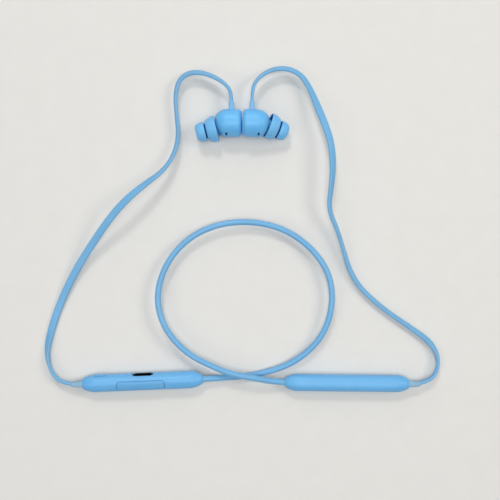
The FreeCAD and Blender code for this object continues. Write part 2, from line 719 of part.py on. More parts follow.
# Neck cable: from the control module under its own far end, round the loop
# and over itself into the battery module.
NECK_CABLE_ROUTE = [
    (-21.2, -63.84, 4.17),
    (-15.4, -63.6, 3.95),
    (-8.4, -63.3, 1.9),
    (0.6, -62.8, 1.6),
    (11.3, -60.6, 1.9),
    (21.5, -56.9, 2.8),
    (30.8, -50.4, 3.8),
    (37.9, -41.6, 4.6),
    (41.6, -30.6, 5.1),
    (41.9, -18.6, 5.3),
    (38.0, -8.1, 5.3),
    (29.7, 1.6, 5.1),
    (18.9, 8.7, 4.9),
    (6.0, 12.2, 4.8),
    (-7.4, 12.3, 4.8),
    (-20.1, 8.8, 5.0),
    (-31.1, 1.5, 5.4),
    (-38.9, -9.0, 6.0),
    (-42.7, -21.5, 6.6),
    (-41.5, -33.0, 7.0),
    (-35.6, -43.9, 7.2),
    (-26.3, -52.3, 7.3),
    (-16.1, -57.2, 7.4),
    (-6.8, -61.0, 7.5),
    (6.4, -63.3, 7.5),
    (13.2, -64.9, 4.7),
    (19.4, -65.41, 4.05),
]

# Left ribbon: from the left earbud round a bend and down to the control module.
LEFT_RIBBON_ROUTE = [
    (-6.8, 70.17, 6.67),
    (-6.8, 74.5, 6.67),
    (-9.3, 78.4, 6.6),
    (-14.4, 82.0, 6.2),
    (-21.1, 84.6, 5.5),
    (-28.0, 84.6, 4.8),
    (-32.7, 80.5, 4.3),
    (-34.3, 73.6, 4.0),
    (-33.6, 64.2, 3.8),
    (-32.5, 54.2, 4.0),
    (-34.7, 44.3, 5.4),
    (-40.1, 36.2, 8.2),
    (-48.3, 29.8, 11.6),
    (-56.8, 22.5, 13.2),
    (-65.0, 13.5, 10.8),
    (-72.6, 3.5, 7.0),
    (-80.4, -7.6, 4.1),
    (-86.9, -19.2, 2.3),
    (-92.1, -31.2, 1.5),
    (-95.7, -42.9, 1.4),
    (-97.0, -50.6, 1.9),
    (-96.1, -56.9, 2.7),
    (-93.2, -62.0, 3.5),
    (-89.2, -65.5, 4.05),
    (-84.3, -66.35, 4.17),
]

# Right ribbon: from the right earbud round a bend and down to the battery module.
RIGHT_RIBBON_ROUTE = [
    (3.1, 69.95, 7.95),
    (3.25, 74.4, 7.95),
    (4.15, 79.0, 7.55),
    (8.3, 83.6, 6.5),
    (14.6, 86.5, 5.7),
    (21.8, 86.3, 5.1),
    (27.6, 82.8, 4.9),
    (31.6, 75.9, 5.5),
    (34.8, 67.6, 6.8),
    (38.0, 59.4, 8.4),
    (40.9, 50.2, 9.8),
    (41.9, 40.1, 10.4),
    (41.1, 29.4, 9.9),
    (39.8, 18.2, 8.2),
    (44.0, 9.5, 6.0),
    (47.4, -0.6, 3.8),
    (50.6, -10.8, 2.3),
    (55.0, -18.6, 1.7),
    (62.6, -26.2, 1.6),
    (71.6, -33.1, 1.7),
    (80.6, -39.2, 1.7),
    (87.4, -44.0, 1.7),
    (91.7, -48.4, 1.9),
    (94.1, -54.1, 2.4),
    (93.0, -60.0, 3.1),
    (89.4, -64.7, 3.8),
    (84.33, -66.14, 4.05),
]


def cord_path(points):
    """Straight runs joined by tangent arcs; returns the wire and the arc radii."""
    edges = []
    radii = []
    place = points[0]
    for before, corner, after in zip(points, points[1:], points[2:]):
        arriving = corner - before
        leaving = after - corner
        turn = arriving.getAngle(leaving)
        setback = ARC_SHARE * min(arriving.Length, leaving.Length)
        radius = setback / math.tan(turn / 2)
        arriving.normalize()
        leaving.normalize()
        start = corner - arriving * setback
        end = corner + leaving * setback
        inward = (leaving - arriving).normalize()
        middle = corner + inward * (radius / math.cos(turn / 2) - radius)
        edges.append(Part.LineSegment(place, start).toShape())
        edges.append(Part.Arc(start, middle, end).toShape())
        radii.append(radius)
        place = end
    edges.append(Part.LineSegment(place, points[-1]).toShape())
    return Part.Wire(edges), radii


def cord(name, route, diameter):
    """Plain round tube along a route, with its length and radii printed."""
    points = [Vector(*point) for point in route]
    path, radii = cord_path(points)
    circle = Part.makeCircle(diameter / 2, points[0], points[1] - points[0])
    tube = path.makePipeShell([Part.Wire([circle])], True, False)
    section = math.pi * diameter ** 2 / 4
    runs = [(b - a).Length for a, b in zip(points, points[1:])]
    print(name, "length %.1f mm" % path.Length, "runs %.1f to %.1f" % (min(runs), max(runs)))
    print(name, "radii", " ".join("%.0f" % radius for radius in radii))
    print(name, "volume over section times length %.4f" % (tube.Volume / (section * path.Length)))
    return tube


# ---------------------------------------------------------------- assembly

def build():
    """Every sub-part in the shared frame, by node name."""
    nodes = {}
    control_place = module_placement(CONTROL_CENTRE, CONTROL_YAW, CONTROL_ROLL)
    battery_place = module_placement(BATTERY_CENTRE, BATTERY_YAW, 0)
    for pieces, place in ((control_module(), control_place), (battery_module(), battery_place)):
        for name, shape in pieces.items():
            nodes[name] = shape.transformed(place.toMatrix())
    for name, shape in earbud(LEFT_BUD).items():
        nodes["left_" + name] = mirrored(shape).transformed(bud_placement(LEFT_BUD).toMatrix())
    for name, shape in earbud(RIGHT_BUD).items():
        nodes["right_" + name] = shape.transformed(bud_placement(RIGHT_BUD).toMatrix())
    nodes["neck_cable"] = cord("neck_cable", NECK_CABLE_ROUTE, NECK_CABLE_DIAMETER)
    nodes["left_ribbon"] = cord("left_ribbon", LEFT_RIBBON_ROUTE, RIBBON_TUBE_DIAMETER)
    nodes["right_ribbon"] = cord("right_ribbon", RIGHT_RIBBON_ROUTE, RIBBON_TUBE_DIAMETER)
    return nodes


def print_box(nodes):
    """Prints the box of everything but the cords, which should be centred on the origin."""
    box = FreeCAD.BoundBox()
    for name, shape in nodes.items():
        if name not in ("neck_cable", "left_ribbon", "right_ribbon"):
            box.add(shape.optimalBoundingBox(False))
    print("box X %.2f to %.2f" % (box.XMin, box.XMax), "Y %.2f to %.2f" % (box.YMin, box.YMax))
    print("box Z %.3f to %.2f" % (box.ZMin, box.ZMax))


def main():
    """Builds and writes every sub-part."""
    os.makedirs("parts", exist_ok=True)
    nodes = build()
    for name, shape in nodes.items():
        export(name, shape)
    print_box(nodes)


if __name__ == "__main__":
    main()
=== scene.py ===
"""Neckband earphones lying on a table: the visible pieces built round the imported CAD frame.

Everything is in metres, in the CAD's own frame, with +Z up and the table at z = 0. The cables and
every soft or fine piece are modelled here. The hard mouldings keep their CAD shape and get their
finish here.
"""

import logging
import math
import sys
from collections.abc import Callable, Iterator, Sequence
from contextlib import contextmanager
from dataclasses import dataclass, field
from enum import Enum

import bmesh
import bpy
import numpy as np
from mathutils import Euler, Matrix, Vector


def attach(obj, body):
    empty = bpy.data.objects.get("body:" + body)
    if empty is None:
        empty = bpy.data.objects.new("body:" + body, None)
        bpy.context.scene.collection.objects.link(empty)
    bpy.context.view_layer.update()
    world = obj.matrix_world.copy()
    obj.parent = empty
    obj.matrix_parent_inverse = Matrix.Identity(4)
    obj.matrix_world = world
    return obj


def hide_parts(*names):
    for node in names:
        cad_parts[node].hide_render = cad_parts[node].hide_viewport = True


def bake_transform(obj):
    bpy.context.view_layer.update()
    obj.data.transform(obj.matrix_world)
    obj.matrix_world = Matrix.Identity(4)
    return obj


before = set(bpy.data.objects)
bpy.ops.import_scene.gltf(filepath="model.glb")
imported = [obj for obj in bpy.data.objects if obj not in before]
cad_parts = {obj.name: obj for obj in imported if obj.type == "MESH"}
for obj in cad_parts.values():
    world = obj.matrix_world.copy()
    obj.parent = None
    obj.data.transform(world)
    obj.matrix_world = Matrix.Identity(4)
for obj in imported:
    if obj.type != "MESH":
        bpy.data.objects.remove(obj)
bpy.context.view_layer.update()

MM = 0.001
MERGE = 1e-6
SMOOTH_ANGLE = math.radians(50)
# The Mix node's colour inputs and its colour output go by number.
MIX_FACTOR, MIX_A, MIX_B, MIX_RESULT = 0, 6, 7, 2
# The part of a noise's range that its patches fill.
CLOUD_LOW, CLOUD_HIGH = 0.3, 0.7
LOG = logging.getLogger("earphones")

Point = tuple[float, float, float]
Tree = bpy.types.NodeTree
Socket = bpy.types.NodeSocket


class Body(Enum):
    """The moving bodies of the CAD that a new piece can ride on."""

    NECKBAND = "neckband"
    LEFT_EARBUD = "left_earbud"
    RIGHT_EARBUD = "right_earbud"
    LEFT_TIP = "left_tip"
    RIGHT_TIP = "right_tip"


class Slot(Enum):
    """The material slots of the record, by name. The new pieces here take their finish from the
    finishes below, not from these slots.
    """

    SILICONE = "tip_silicone"
    SLEEVE = "sleeve_rubber"
    CABLE = "cable_jacket"
    RIBBON = "ribbon_jacket"
    STEEL = "bright_steel"


# ---------------------------------------------------------------- bench


def linear(code: str) -> tuple[float, float, float, float]:
    """Turns an sRGB hex colour into the linear colour that the shaders take.

    Args:
        code: Six hex digits.

    Returns:
        Linear red, green and blue, with full alpha.
    """
    parts = [int(code[i : i + 2], 16) / 255 for i in (0, 2, 4)]
    light = [c / 12.92 if c <= 0.04045 else ((c + 0.055) / 1.055) ** 2.4 for c in parts]
    return (light[0], light[1], light[2], 1.0)


def only(piece: bpy.types.Object) -> None:
    """Selects one object and makes it active."""
    bpy.ops.object.select_all(action="DESELECT")
    piece.select_set(True)
    bpy.context.view_layer.objects.active = piece


@contextmanager
def editing(piece: bpy.types.Object) -> Iterator[None]:
    """Holds a piece in edit mode for the length of a with block."""
    only(piece)
    bpy.ops.object.mode_set(mode="EDIT")
    yield
    bpy.ops.object.mode_set(mode="OBJECT")


def choose_faces(piece: bpy.types.Object, test: Callable[[Vector, Vector], bool]) -> None:
    """Selects the faces that pass a test, and nothing else, in edit mode.

    Args:
        piece: The mesh in edit mode.
        test: Gets a face's centre and normal and says whether it is wanted.
    """
    bpy.ops.mesh.select_mode(type="FACE")
    bpy.ops.mesh.select_all(action="DESELECT")
    shape = bmesh.from_edit_mesh(piece.data)
    for face in shape.faces:
        face.select_set(test(face.calc_center_median(), face.normal))
    bmesh.update_edit_mesh(piece.data)


def choose_edges(piece: bpy.types.Object, test: Callable[[Vector, Vector], bool]) -> None:
    """Selects the edges that pass a test, and nothing else, in edit mode.

    Args:
        piece: The mesh in edit mode.
        test: Gets an edge's two ends and says whether it is wanted.
    """
    bpy.ops.mesh.select_mode(type="EDGE")
    bpy.ops.mesh.select_all(action="DESELECT")
    shape = bmesh.from_edit_mesh(piece.data)
    for edge in shape.edges:
        edge.select_set(test(edge.verts[0].co, edge.verts[1].co))
    bmesh.update_edit_mesh(piece.data)


def smoothed(piece: bpy.types.Object, levels: int) -> None:
    """Applies a subdivision surface of so many levels to a piece."""
    only(piece)
    soften = piece.modifiers.new("Soften", "SUBSURF")
    soften.levels = levels
    soften.render_levels = levels
    bpy.ops.object.modifier_apply(modifier=soften.name)


def eased(piece: bpy.types.Object, width: float, segments: int = 2, angle: float = 35.0) -> None:
    """Rounds the sharp edges of a piece with an applied bevel.

    Args:
        piece: The mesh.
        width: The bevel's width in metres.
        segments: How many faces the bevel has across.
        angle: The least angle, in degrees, of an edge that is rounded.
    """
    only(piece)
    ease = piece.modifiers.new("Ease", "BEVEL")
    ease.width = width
    ease.segments = segments
    ease.limit_method = "ANGLE"
    ease.angle_limit = math.radians(angle)
    bpy.ops.object.modifier_apply(modifier=ease.name)


def placed(piece: bpy.types.Object, place: Matrix) -> None:
    """Carries a piece to its place and leaves its object at the origin, unturned."""
    only(piece)
    piece.matrix_world = place
    bpy.ops.object.transform_apply(location=True, rotation=True, scale=True)


def turned(name: str, profile: Sequence[tuple[float, float]], steps: int) -> bpy.types.Object:
    """Turns a closed profile about the X axis, as a lathe does.

    Args:
        name: The piece's name.
        profile: (distance along the axis, radius) corners in millimetres, once round.
        steps: How many facets go round the axis.

    Returns:
        The closed piece, about the X axis from the origin.
    """
    bpy.ops.object.select_all(action="DESELECT")
    bpy.ops.mesh.primitive_plane_add(size=MM)
    piece = bpy.context.active_object
    piece.name = name
    with editing(piece):
        bpy.ops.mesh.select_mode(type="VERT")
        bpy.ops.mesh.select_all(action="SELECT")
        bpy.ops.mesh.merge(type="CENTER")
        place = Vector((profile[0][0] * MM, profile[0][1] * MM, 0.0))
        bpy.ops.transform.translate(value=place)
        for along, radius in (*profile[1:], profile[0]):
            corner = Vector((along * MM, radius * MM, 0.0))
            bpy.ops.mesh.extrude_vertices_move(TRANSFORM_OT_translate={"value": corner - place})
            place = corner
        bpy.ops.mesh.select_all(action="SELECT")
        bpy.ops.mesh.remove_doubles(threshold=MERGE)
        bpy.ops.mesh.select_all(action="SELECT")
        bpy.ops.mesh.spin(
            steps=steps,
            angle=math.tau,
            use_auto_merge=True,
            center=(0, 0, 0),
            axis=(1, 0, 0),
        )
        bpy.ops.mesh.select_all(action="SELECT")
        bpy.ops.mesh.remove_doubles(threshold=MERGE)
        bpy.ops.mesh.select_all(action="SELECT")
        bpy.ops.mesh.normals_make_consistent(inside=False)
    return piece


def fitted(
    piece: bpy.types.Object,
    finish: bpy.types.Material,
    body: Body,
    nodes: Sequence[str] = (),
) -> bpy.types.Object:
    """Gives a finished piece its material, its body and the CAD nodes that it stands for.

    Args:
        piece: The finished mesh or curve.
        finish: Its material.
        body: The CAD body that it rides on.
        nodes: The CAD nodes that it replaces.

    Returns:
        The same piece.
    """
    piece.data.materials.clear()
    piece.data.materials.append(finish)
    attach(piece, body.value)
    if nodes:
        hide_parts(*nodes)
    LOG.info("%s rides on %s", piece.name, body.value)
    return piece


# ---------------------------------------------------------------- finishes


def add(
    tree: Tree,
    kind: str,
    links: dict | None = None,
    **settings: object,
) -> bpy.types.Node:
    """Adds one node with its settings and its links.

    Args:
        tree: The material's node tree.
        kind: The node's type.
        links: For each input, by name or number, a socket to link or a value to set.
        **settings: Properties of the node.

    Returns:
        The node.
    """
    node = tree.nodes.new(kind)
    for key, value in settings.items():
        setattr(node, key, value)
    for key, value in (links or {}).items():
        if isinstance(value, Socket):
            tree.links.new(value, node.inputs[key])
        else:
            node.inputs[key].default_value = value
    return node


@dataclass(frozen=True)
class Finish:
    """What every finish has: a name, a colour, a gloss and the patterns that it shares.

    Attributes:
        name: The real material and how its surface was made.
        colour: Its sRGB hex colour.
        shade: The hex colour that it drifts to in slow patches.
        roughness: Its middle roughness.
        ior: Its index of refraction.
        grain: The size of the surface's fine grain, in metres.
        relief: The height of that grain, in metres.
    """

    name: str
    colour: str
    shade: str
    roughness: float
    ior: float = 1.5
    grain: float = 0.0004
    relief: float = 0.000008

    DRIFT_SCALE = 110.0
    RUB_SCALE = 260.0

    def blank(self) -> tuple[bpy.types.Material, Tree, bpy.types.Node]:
        """Makes the material with its shader wired to its output.

        Returns:
            The material, its node tree and its shader.
        """
        material = bpy.data.materials.new(self.name)
        material.use_nodes = True
        tree = material.node_tree
        tree.nodes.clear()
        shader = add(
            tree,
            "ShaderNodeBsdfPrincipled",
            {"Roughness": self.roughness, "IOR": self.ior},
        )
        add(tree, "ShaderNodeOutputMaterial", {"Surface": shader.outputs["BSDF"]})
        return material, tree, shader

    def drift(self, tree: Tree, where: Socket) -> Socket:
        """Slow patches between the colour and its shade, 9 mm across, as pigment settles.

        Args:
            tree: The material's node tree.
            where: The coordinates that the patches are laid out in.

        Returns:
            The colour.
        """
        cloud = add(
            tree,
            "ShaderNodeTexNoise",
            {"Vector": where, "Scale": self.DRIFT_SCALE, "Detail": 2.0},
        )
        spread = add(
            tree,
            "ShaderNodeMapRange",
            {"Value": cloud.outputs["Fac"], "From Min": CLOUD_LOW, "From Max": CLOUD_HIGH},
        )
        mixed = add(
            tree,
            "ShaderNodeMix",
            {
                MIX_FACTOR: spread.outputs["Result"],
                MIX_A: linear(self.colour),
                MIX_B: linear(self.shade),
            },
            data_type="RGBA",
        )
        return mixed.outputs[MIX_RESULT]

    def handled(self, tree: Tree, where: Socket, spread: float) -> Socket:
        """Roughness that wanders over 4 mm patches, as fingers polish a surface unevenly.

        Args:
            tree: The material's node tree.
            where: The coordinates that the patches are laid out in.
            spread: How far it wanders either way.

        Returns:
            The roughness.
        """
        rub = add(
            tree,
            "ShaderNodeTexNoise",
            {"Vector": where, "Scale": self.RUB_SCALE, "Detail": 3.0},
        )
        level = add(
            tree,
            "ShaderNodeMapRange",
            {
                "Value": rub.outputs["Fac"],
                "From Min": CLOUD_LOW,
                "From Max": CLOUD_HIGH,
                "To Min": self.roughness - spread,
                "To Max": self.roughness + spread,
            },
        )
        return level.outputs["Result"]

    def grained(self, tree: Tree, where: Socket) -> Socket:
        """A normal that carries the fine grain which the mould or die leaves.

        Args:
            tree: The material's node tree.
            where: The coordinates that the grain is laid out in.

        Returns:
            The normal.
        """
        speck = add(
            tree,
            "ShaderNodeTexNoise",
            {"Vector": where, "Scale": 1 / self.grain, "Detail": 2.0},
        )
        bump = add(
            tree,
            "ShaderNodeBump",
            {"Height": speck.outputs["Fac"], "Strength": 0.6, "Distance": self.relief},
        )
        return bump.outputs["Normal"]

    def make(self) -> bpy.types.Material:
        """Builds the plain form of the finish: drift, handling and grain.

        Returns:
            The material.
        """
        material, tree, shader = self.blank()
        where = add(tree, "ShaderNodeTexCoord").outputs["Object"]
        tree.links.new(self.drift(tree, where), shader.inputs["Base Color"])
        tree.links.new(self.handled(tree, where, spread=0.04), shader.inputs["Roughness"])
        tree.links.new(self.grained(tree, where), shader.inputs["Normal"])
        return material


@dataclass(frozen=True)
class Parting:
    """The line where two mouldings of one shell meet.

    Attributes:
        centre: A point that the shell's own axes pass through, in metres.
        turn: The shell's turn, as XYZ angles in degrees.
        axis: Which of its own axes crosses the line.
        height: Where on that axis the line is, in metres.
        width: The line's width, in metres.
        depth: How far it is sunk, in metres.
        colour: The hex colour that its shade gives it.
    """

    centre: Point
    turn: Point
    axis: str
    height: float
    width: float = 0.00009
    depth: float = 0.00008
    colour: str = "4A8CC0"


@dataclass(frozen=True)
class MouldedPlastic(Finish):
    """Satin ABS and polycarbonate moulding: an even, faintly pebbled skin with a soft highlight.

    Attributes:
        parting: The line where it meets its other half, if it has one.
    """

    parting: Parting | None = None

    # The line is full within this share of its width from its middle, and gone beyond the other.
    LINE_CORE = 0.35
    LINE_EDGE = 0.65

    def line(self, tree: Tree, where: Socket) -> Socket:
        """Draws the parting line.

        Args:
            tree: The material's node tree.
            where: The object's coordinates.

        Returns:
            1 on the line and 0 off it.
        """
        seam = self.parting
        own = add(
            tree,
            "ShaderNodeMapping",
            {
                "Vector": where,
                "Location": seam.centre,
                "Rotation": tuple(map(math.radians, seam.turn)),
            },
            vector_type="TEXTURE",
        )
        axes = add(tree, "ShaderNodeSeparateXYZ", {"Vector": own.outputs["Vector"]})
        offset = add(
            tree,
            "ShaderNodeMath",
            {0: axes.outputs[seam.axis], 1: seam.height},
            operation="SUBTRACT",
        )
        away = add(tree, "ShaderNodeMath", {0: offset.outputs[0]}, operation="ABSOLUTE")
        fade = add(
            tree,
            "ShaderNodeMapRange",
            {
                "Value": away.outputs[0],
                "From Min": seam.width * self.LINE_CORE,
                "From Max": seam.width * self.LINE_EDGE,
                "To Min": 1.0,
                "To Max": 0.0,
            },
        )
        return fade.outputs["Result"]

    def make(self) -> bpy.types.Material:
        """Builds the moulded skin, with its parting line where it has one.

        Returns:
            The material.
        """
        material, tree, shader = self.blank()
        where = add(tree, "ShaderNodeTexCoord").outputs["Object"]
        colour = self.drift(tree, where)
        normal = self.grained(tree, where)
        if self.parting:
            line = self.line(tree, where)
            shut = add(
                tree,
                "ShaderNodeMix",
                {MIX_FACTOR: line, MIX_A: colour, MIX_B: linear(self.parting.colour)},
                data_type="RGBA",
            )
            colour = shut.outputs[MIX_RESULT]
            normal = add(
                tree,
                "ShaderNodeBump",
                {
                    "Height": line,
                    "Strength": 0.8,
                    "Distance": self.parting.depth,
                    "Normal": normal,
                },
                invert=True,
            ).outputs["Normal"]
        tree.links.new(colour, shader.inputs["Base Color"])
        tree.links.new(self.handled(tree, where, spread=0.05), shader.inputs["Roughness"])
        tree.links.new(normal, shader.inputs["Normal"])
        return material


@dataclass(frozen=True)
class SoftElastomer(Finish):
    """Moulded silicone or elastomer: matt, and light goes in and comes out again near edges.

    Attributes:
        depth: How far light goes in, in metres.
        softness: How much of the light does so.
        hollow_shade: The hex colour of the painted shade on walls marked as under a skirt, deeper
            because little light gets in.
    """

    depth: float = 0.0006
    softness: float = 0.25
    hollow_shade: str = ""

    def make(self) -> bpy.types.Material:
        """Builds the soft skin with light that bleeds through thin edges.

        Returns:
            The material.
        """
        material = super().make()
        tree = material.node_tree
        shader = next(n for n in tree.nodes if n.type == "BSDF_PRINCIPLED")
        # Walls under the skirts, marked by an attribute, get painted shade: a deeper blue.
        if self.hollow_shade:
            colour = shader.inputs["Base Color"].links[0].from_socket
            inner = add(tree, "ShaderNodeAttribute", attribute_name="hollow_shade")
            mixed = add(
                tree,
                "ShaderNodeMix",
                {MIX_FACTOR: inner.outputs["Fac"], MIX_A: colour, MIX_B: linear(self.hollow_shade)},
                data_type="RGBA",
            )
            tree.links.new(mixed.outputs[MIX_RESULT], shader.inputs["Base Color"])
        shader.inputs["Subsurface Weight"].default_value = self.softness
        shader.inputs["Subsurface Radius"].default_value = (0.5, 0.8, 1.0)
        shader.inputs["Subsurface Scale"].default_value = self.depth
        return material


@dataclass(frozen=True)
class ExtrudedJacket(Finish):
    """Extruded elastomer jacket: satin, with faint lines that the die draws along the cable.

    Attributes:
        line_pitch: The lines' spacing, in metres.
        line_depth: Their depth, in metres.
    """

    line_pitch: float = 0.00035
    line_depth: float = 0.00002

    LINE_CHANGES = 18.0

    def make(self) -> bpy.types.Material:
        """Builds the jacket, whose lines follow the piece's own UV map.

        Returns:
            The material. U goes once round the cable, in metres, and V along it.
        """
        material, tree, shader = self.blank()
        spots = add(tree, "ShaderNodeTexCoord")
        where = spots.outputs["Object"]
        stretched = add(
            tree,
            "ShaderNodeMapping",
            {
                "Vector": spots.outputs["UV"],
                "Scale": (1 / self.line_pitch, self.LINE_CHANGES, 1.0),
            },
        )
        drawn = add(
            tree,
            "ShaderNodeTexNoise",
            {"Vector": stretched.outputs["Vector"], "Scale": 1.0, "Detail": 1.0},
            noise_dimensions="2D",
        )
        lines = add(
            tree,
            "ShaderNodeBump",
            {
                "Height": drawn.outputs["Fac"],
                "Strength": 0.5,
                "Distance": self.line_depth,
                "Normal": self.grained(tree, where),
            },
        )
        tree.links.new(self.drift(tree, where), shader.inputs["Base Color"])
        tree.links.new(self.handled(tree, where, spread=0.05), shader.inputs["Roughness"])
        tree.links.new(lines.outputs["Normal"], shader.inputs["Normal"])
        return material


@dataclass(frozen=True)
class WorkedMetal(Finish):
    """Bare or plated metal: bright, with a fine rolled or plated grain."""

    def make(self) -> bpy.types.Material:
        """Builds the metal.

        Returns:
            The material.
        """
        material = super().make()
        shader = next(n for n in material.node_tree.nodes if n.type == "BSDF_PRINCIPLED")
        shader.inputs["Metallic"].default_value = 1.0
        return material


@dataclass(frozen=True)
class WovenMesh(Finish):
    """Acoustic mesh: fine steel wires over and under each other, with painted shade in the holes.

    Attributes:
        pitch: The wires' spacing, in metres. The real 0.1 mm is drawn at twice that, so that it
            still shows.
    """

    pitch: float = 0.00022

    HOLE = 0.55
    WIRE = 0.85
    WIRE_HEIGHT = 0.00004
    METALLIC = 0.7

    def make(self) -> bpy.types.Material:
        """Builds the weave from two crossed rows of wires.

        Returns:
            The material.
        """
        material, tree, shader = self.blank()
        where = add(tree, "ShaderNodeTexCoord").outputs["Object"]
        tilted = add(
            tree,
            "ShaderNodeMapping",
            {"Vector": where, "Rotation": (0.0, 0.0, math.radians(45))},
        )
        rows = [
            add(
                tree,
                "ShaderNodeTexWave",
                {"Vector": tilted.outputs["Vector"], "Scale": math.tau / (20 * self.pitch)},
                bands_direction=way,
            )
            for way in ("Y", "Z")
        ]
        wires = add(
            tree,
            "ShaderNodeMath",
            {0: rows[0].outputs["Fac"], 1: rows[1].outputs["Fac"]},
            operation="MAXIMUM",
        )
        shown = add(
            tree,
            "ShaderNodeMapRange",
            {"Value": wires.outputs[0], "From Min": self.HOLE, "From Max": self.WIRE},
        )
        # The holes take the near-black second colour: painted shade of the space behind the mesh.
        colour = add(
            tree,
            "ShaderNodeMix",
            {
                MIX_FACTOR: shown.outputs["Result"],
                MIX_A: linear(self.shade),
                MIX_B: linear(self.colour),
            },
            data_type="RGBA",
        )
        bump = add(
            tree,
            "ShaderNodeBump",
            {"Height": wires.outputs[0], "Strength": 1.0, "Distance": self.WIRE_HEIGHT},
        )
        tree.links.new(colour.outputs[MIX_RESULT], shader.inputs["Base Color"])
        tree.links.new(bump.outputs["Normal"], shader.inputs["Normal"])
        shader.inputs["Metallic"].default_value = self.METALLIC
        return material


@dataclass(frozen=True)
class SolderMask(Finish):
    """Glass-epoxy board under green solder mask: glossy, with copper tracks that show through.

    Attributes:
        track: The hex colour of the mask over a track.
    """

    track: str = "2F7A4A"

    TRACK_SCALE = 400.0
    TRACK_WIDTH = 0.06
    COAT = 0.4

    def make(self) -> bpy.types.Material:
        """Builds the board with tracks 0.5 mm apart.

        Returns:
            The material.
        """
        material, tree, shader = self.blank()
        where = add(tree, "ShaderNodeTexCoord").outputs["Object"]
        cells = add(
            tree,
            "ShaderNodeTexBrick",
            {
                "Vector": where,
                "Color1": linear(self.colour),
                "Color2": linear(self.shade),
                "Mortar": linear(self.track),
                "Scale": self.TRACK_SCALE,
                "Mortar Size": self.TRACK_WIDTH,
            },
        )
        tree.links.new(cells.outputs["Color"], shader.inputs["Base Color"])
        tree.links.new(self.handled(tree, where, spread=0.06), shader.inputs["Roughness"])
        tree.links.new(self.grained(tree, where), shader.inputs["Normal"])
        shader.inputs["Coat Weight"].default_value = self.COAT
        return material


@dataclass(frozen=True)
class ClearMoulding(Finish):
    """Clear or thin see-through moulding: frosted enough to hide what is behind it.

    Attributes:
        clearness: How much of the light goes through.
    """

    clearness: float = 0.6

    def make(self) -> bpy.types.Material:
        """Builds the frosted clear finish.

        Returns:
            The material.
        """
        material = super().make()
        shader = next(n for n in material.node_tree.nodes if n.type == "BSDF_PRINCIPLED")
        shader.inputs["Transmission Weight"].default_value = self.clearness
        return material


@dataclass(frozen=True)
class Tabletop(Finish):
    """Off-white laminate: matt, with a very faint mottling and a few soft scuffs."""


# ---------------------------------------------------------------- studio


@dataclass(frozen=True)
class Lamp:
    """A soft square lamp.

    Attributes:
        name: What it does.
        way: The direction from the table to it.
        distance: How far away it is, in metres.
        side: Its side, in metres.
        power: Its power in watts.
        colour: Its hex colour.
    """

    name: str
    way: Point
    distance: float
    side: float
    power: float
    colour: str

    def hang(self, target: Vector) -> None:
        """Hangs the lamp so that it faces a target.

        Args:
            target: The point that it faces.
        """
        light = bpy.data.lights.new(self.name, "AREA")
        light.shape = "SQUARE"
        light.size = self.side
        light.energy = self.power
        light.color = linear(self.colour)[:3]
        lamp = bpy.data.objects.new(self.name, light)
        bpy.context.scene.collection.objects.link(lamp)
        back = Vector(self.way).normalized()
        lamp.location = target + back * self.distance
        lamp.rotation_euler = (-back).to_track_quat("-Z", "Y").to_euler()


@dataclass(frozen=True)
class Studio:
    """The camera over the table, the table itself and its lamps.

    Attributes:
        eye: The camera's place; it looks straight down.
        lens: Its focal length over a sensor 36 mm wide, in millimetres.
        reach: The table's side, in metres.
        ambience: The strength of the light that comes from all round.
        air: The hex colour of that light.
        lamps: The lamps.
    """

    eye: Point = (0.00213, -0.00127, 0.4)
    lens: float = 58.8
    reach: float = 3.0
    ambience: float = 0.26
    air: str = "FBFCFF"
    lamps: tuple[Lamp, ...] = (
        Lamp("key_lamp", (-0.12, 0.65, 0.75), 1.5, 0.24, 4.2, "FFFFFF"),
        Lamp("window_lamp", (-0.05, 0.78, 0.55), 1.5, 1.0, 3.4, "FFFFFF"),
        Lamp("side_lamp", (0.70, 0.12, 0.70), 1.5, 0.55, 5.3, "FFFBF5"),
        Lamp("back_lamp", (-0.60, -0.30, 0.74), 1.6, 0.9, 3.4, "F5FAFF"),
        Lamp("ceiling_lamp", (0.0, -0.10, 1.0), 1.5, 0.5, 6.2, "FFFFFF"),
    )

    SENSOR = 36.0
    NEAR = 0.01
    FAR = 10.0

    def set_camera(self) -> None:
        """Puts the camera over the table and makes it the scene's."""
        data = bpy.data.cameras.new("camera")
        data.lens = self.lens
        data.sensor_width = self.SENSOR
        data.clip_start = self.NEAR
        data.clip_end = self.FAR
        camera = bpy.data.objects.new("camera", data)
        camera.location = self.eye
        bpy.context.scene.collection.objects.link(camera)
        bpy.context.scene.camera = camera

    def set_light(self) -> None:
        """Hangs the lamps and sets the even light from all round."""
        target = Vector((0.0, 0.0, 0.0))
        for lamp in self.lamps:
            lamp.hang(target)
        world = bpy.data.worlds.new("soft_room")
        world.use_nodes = True
        room = world.node_tree.nodes["Background"]
        room.inputs["Color"].default_value = linear(self.air)
        room.inputs["Strength"].default_value = self.ambience
        bpy.context.scene.world = world
        bpy.context.scene.view_settings.view_transform = "Standard"

    def set_table(self, finish: bpy.types.Material) -> None:
        """Lays the table top, whose upper face is z = 0.

        Args:
            finish: The table's material.
        """
        bpy.ops.object.select_all(action="DESELECT")
        bpy.ops.mesh.primitive_plane_add(size=self.reach)
        table = bpy.context.active_object
        table.name = "table_top"
        table.data.materials.append(finish)
        LOG.info("table, camera and %d lamps are set", len(self.lamps))


# ---------------------------------------------------------------- cables

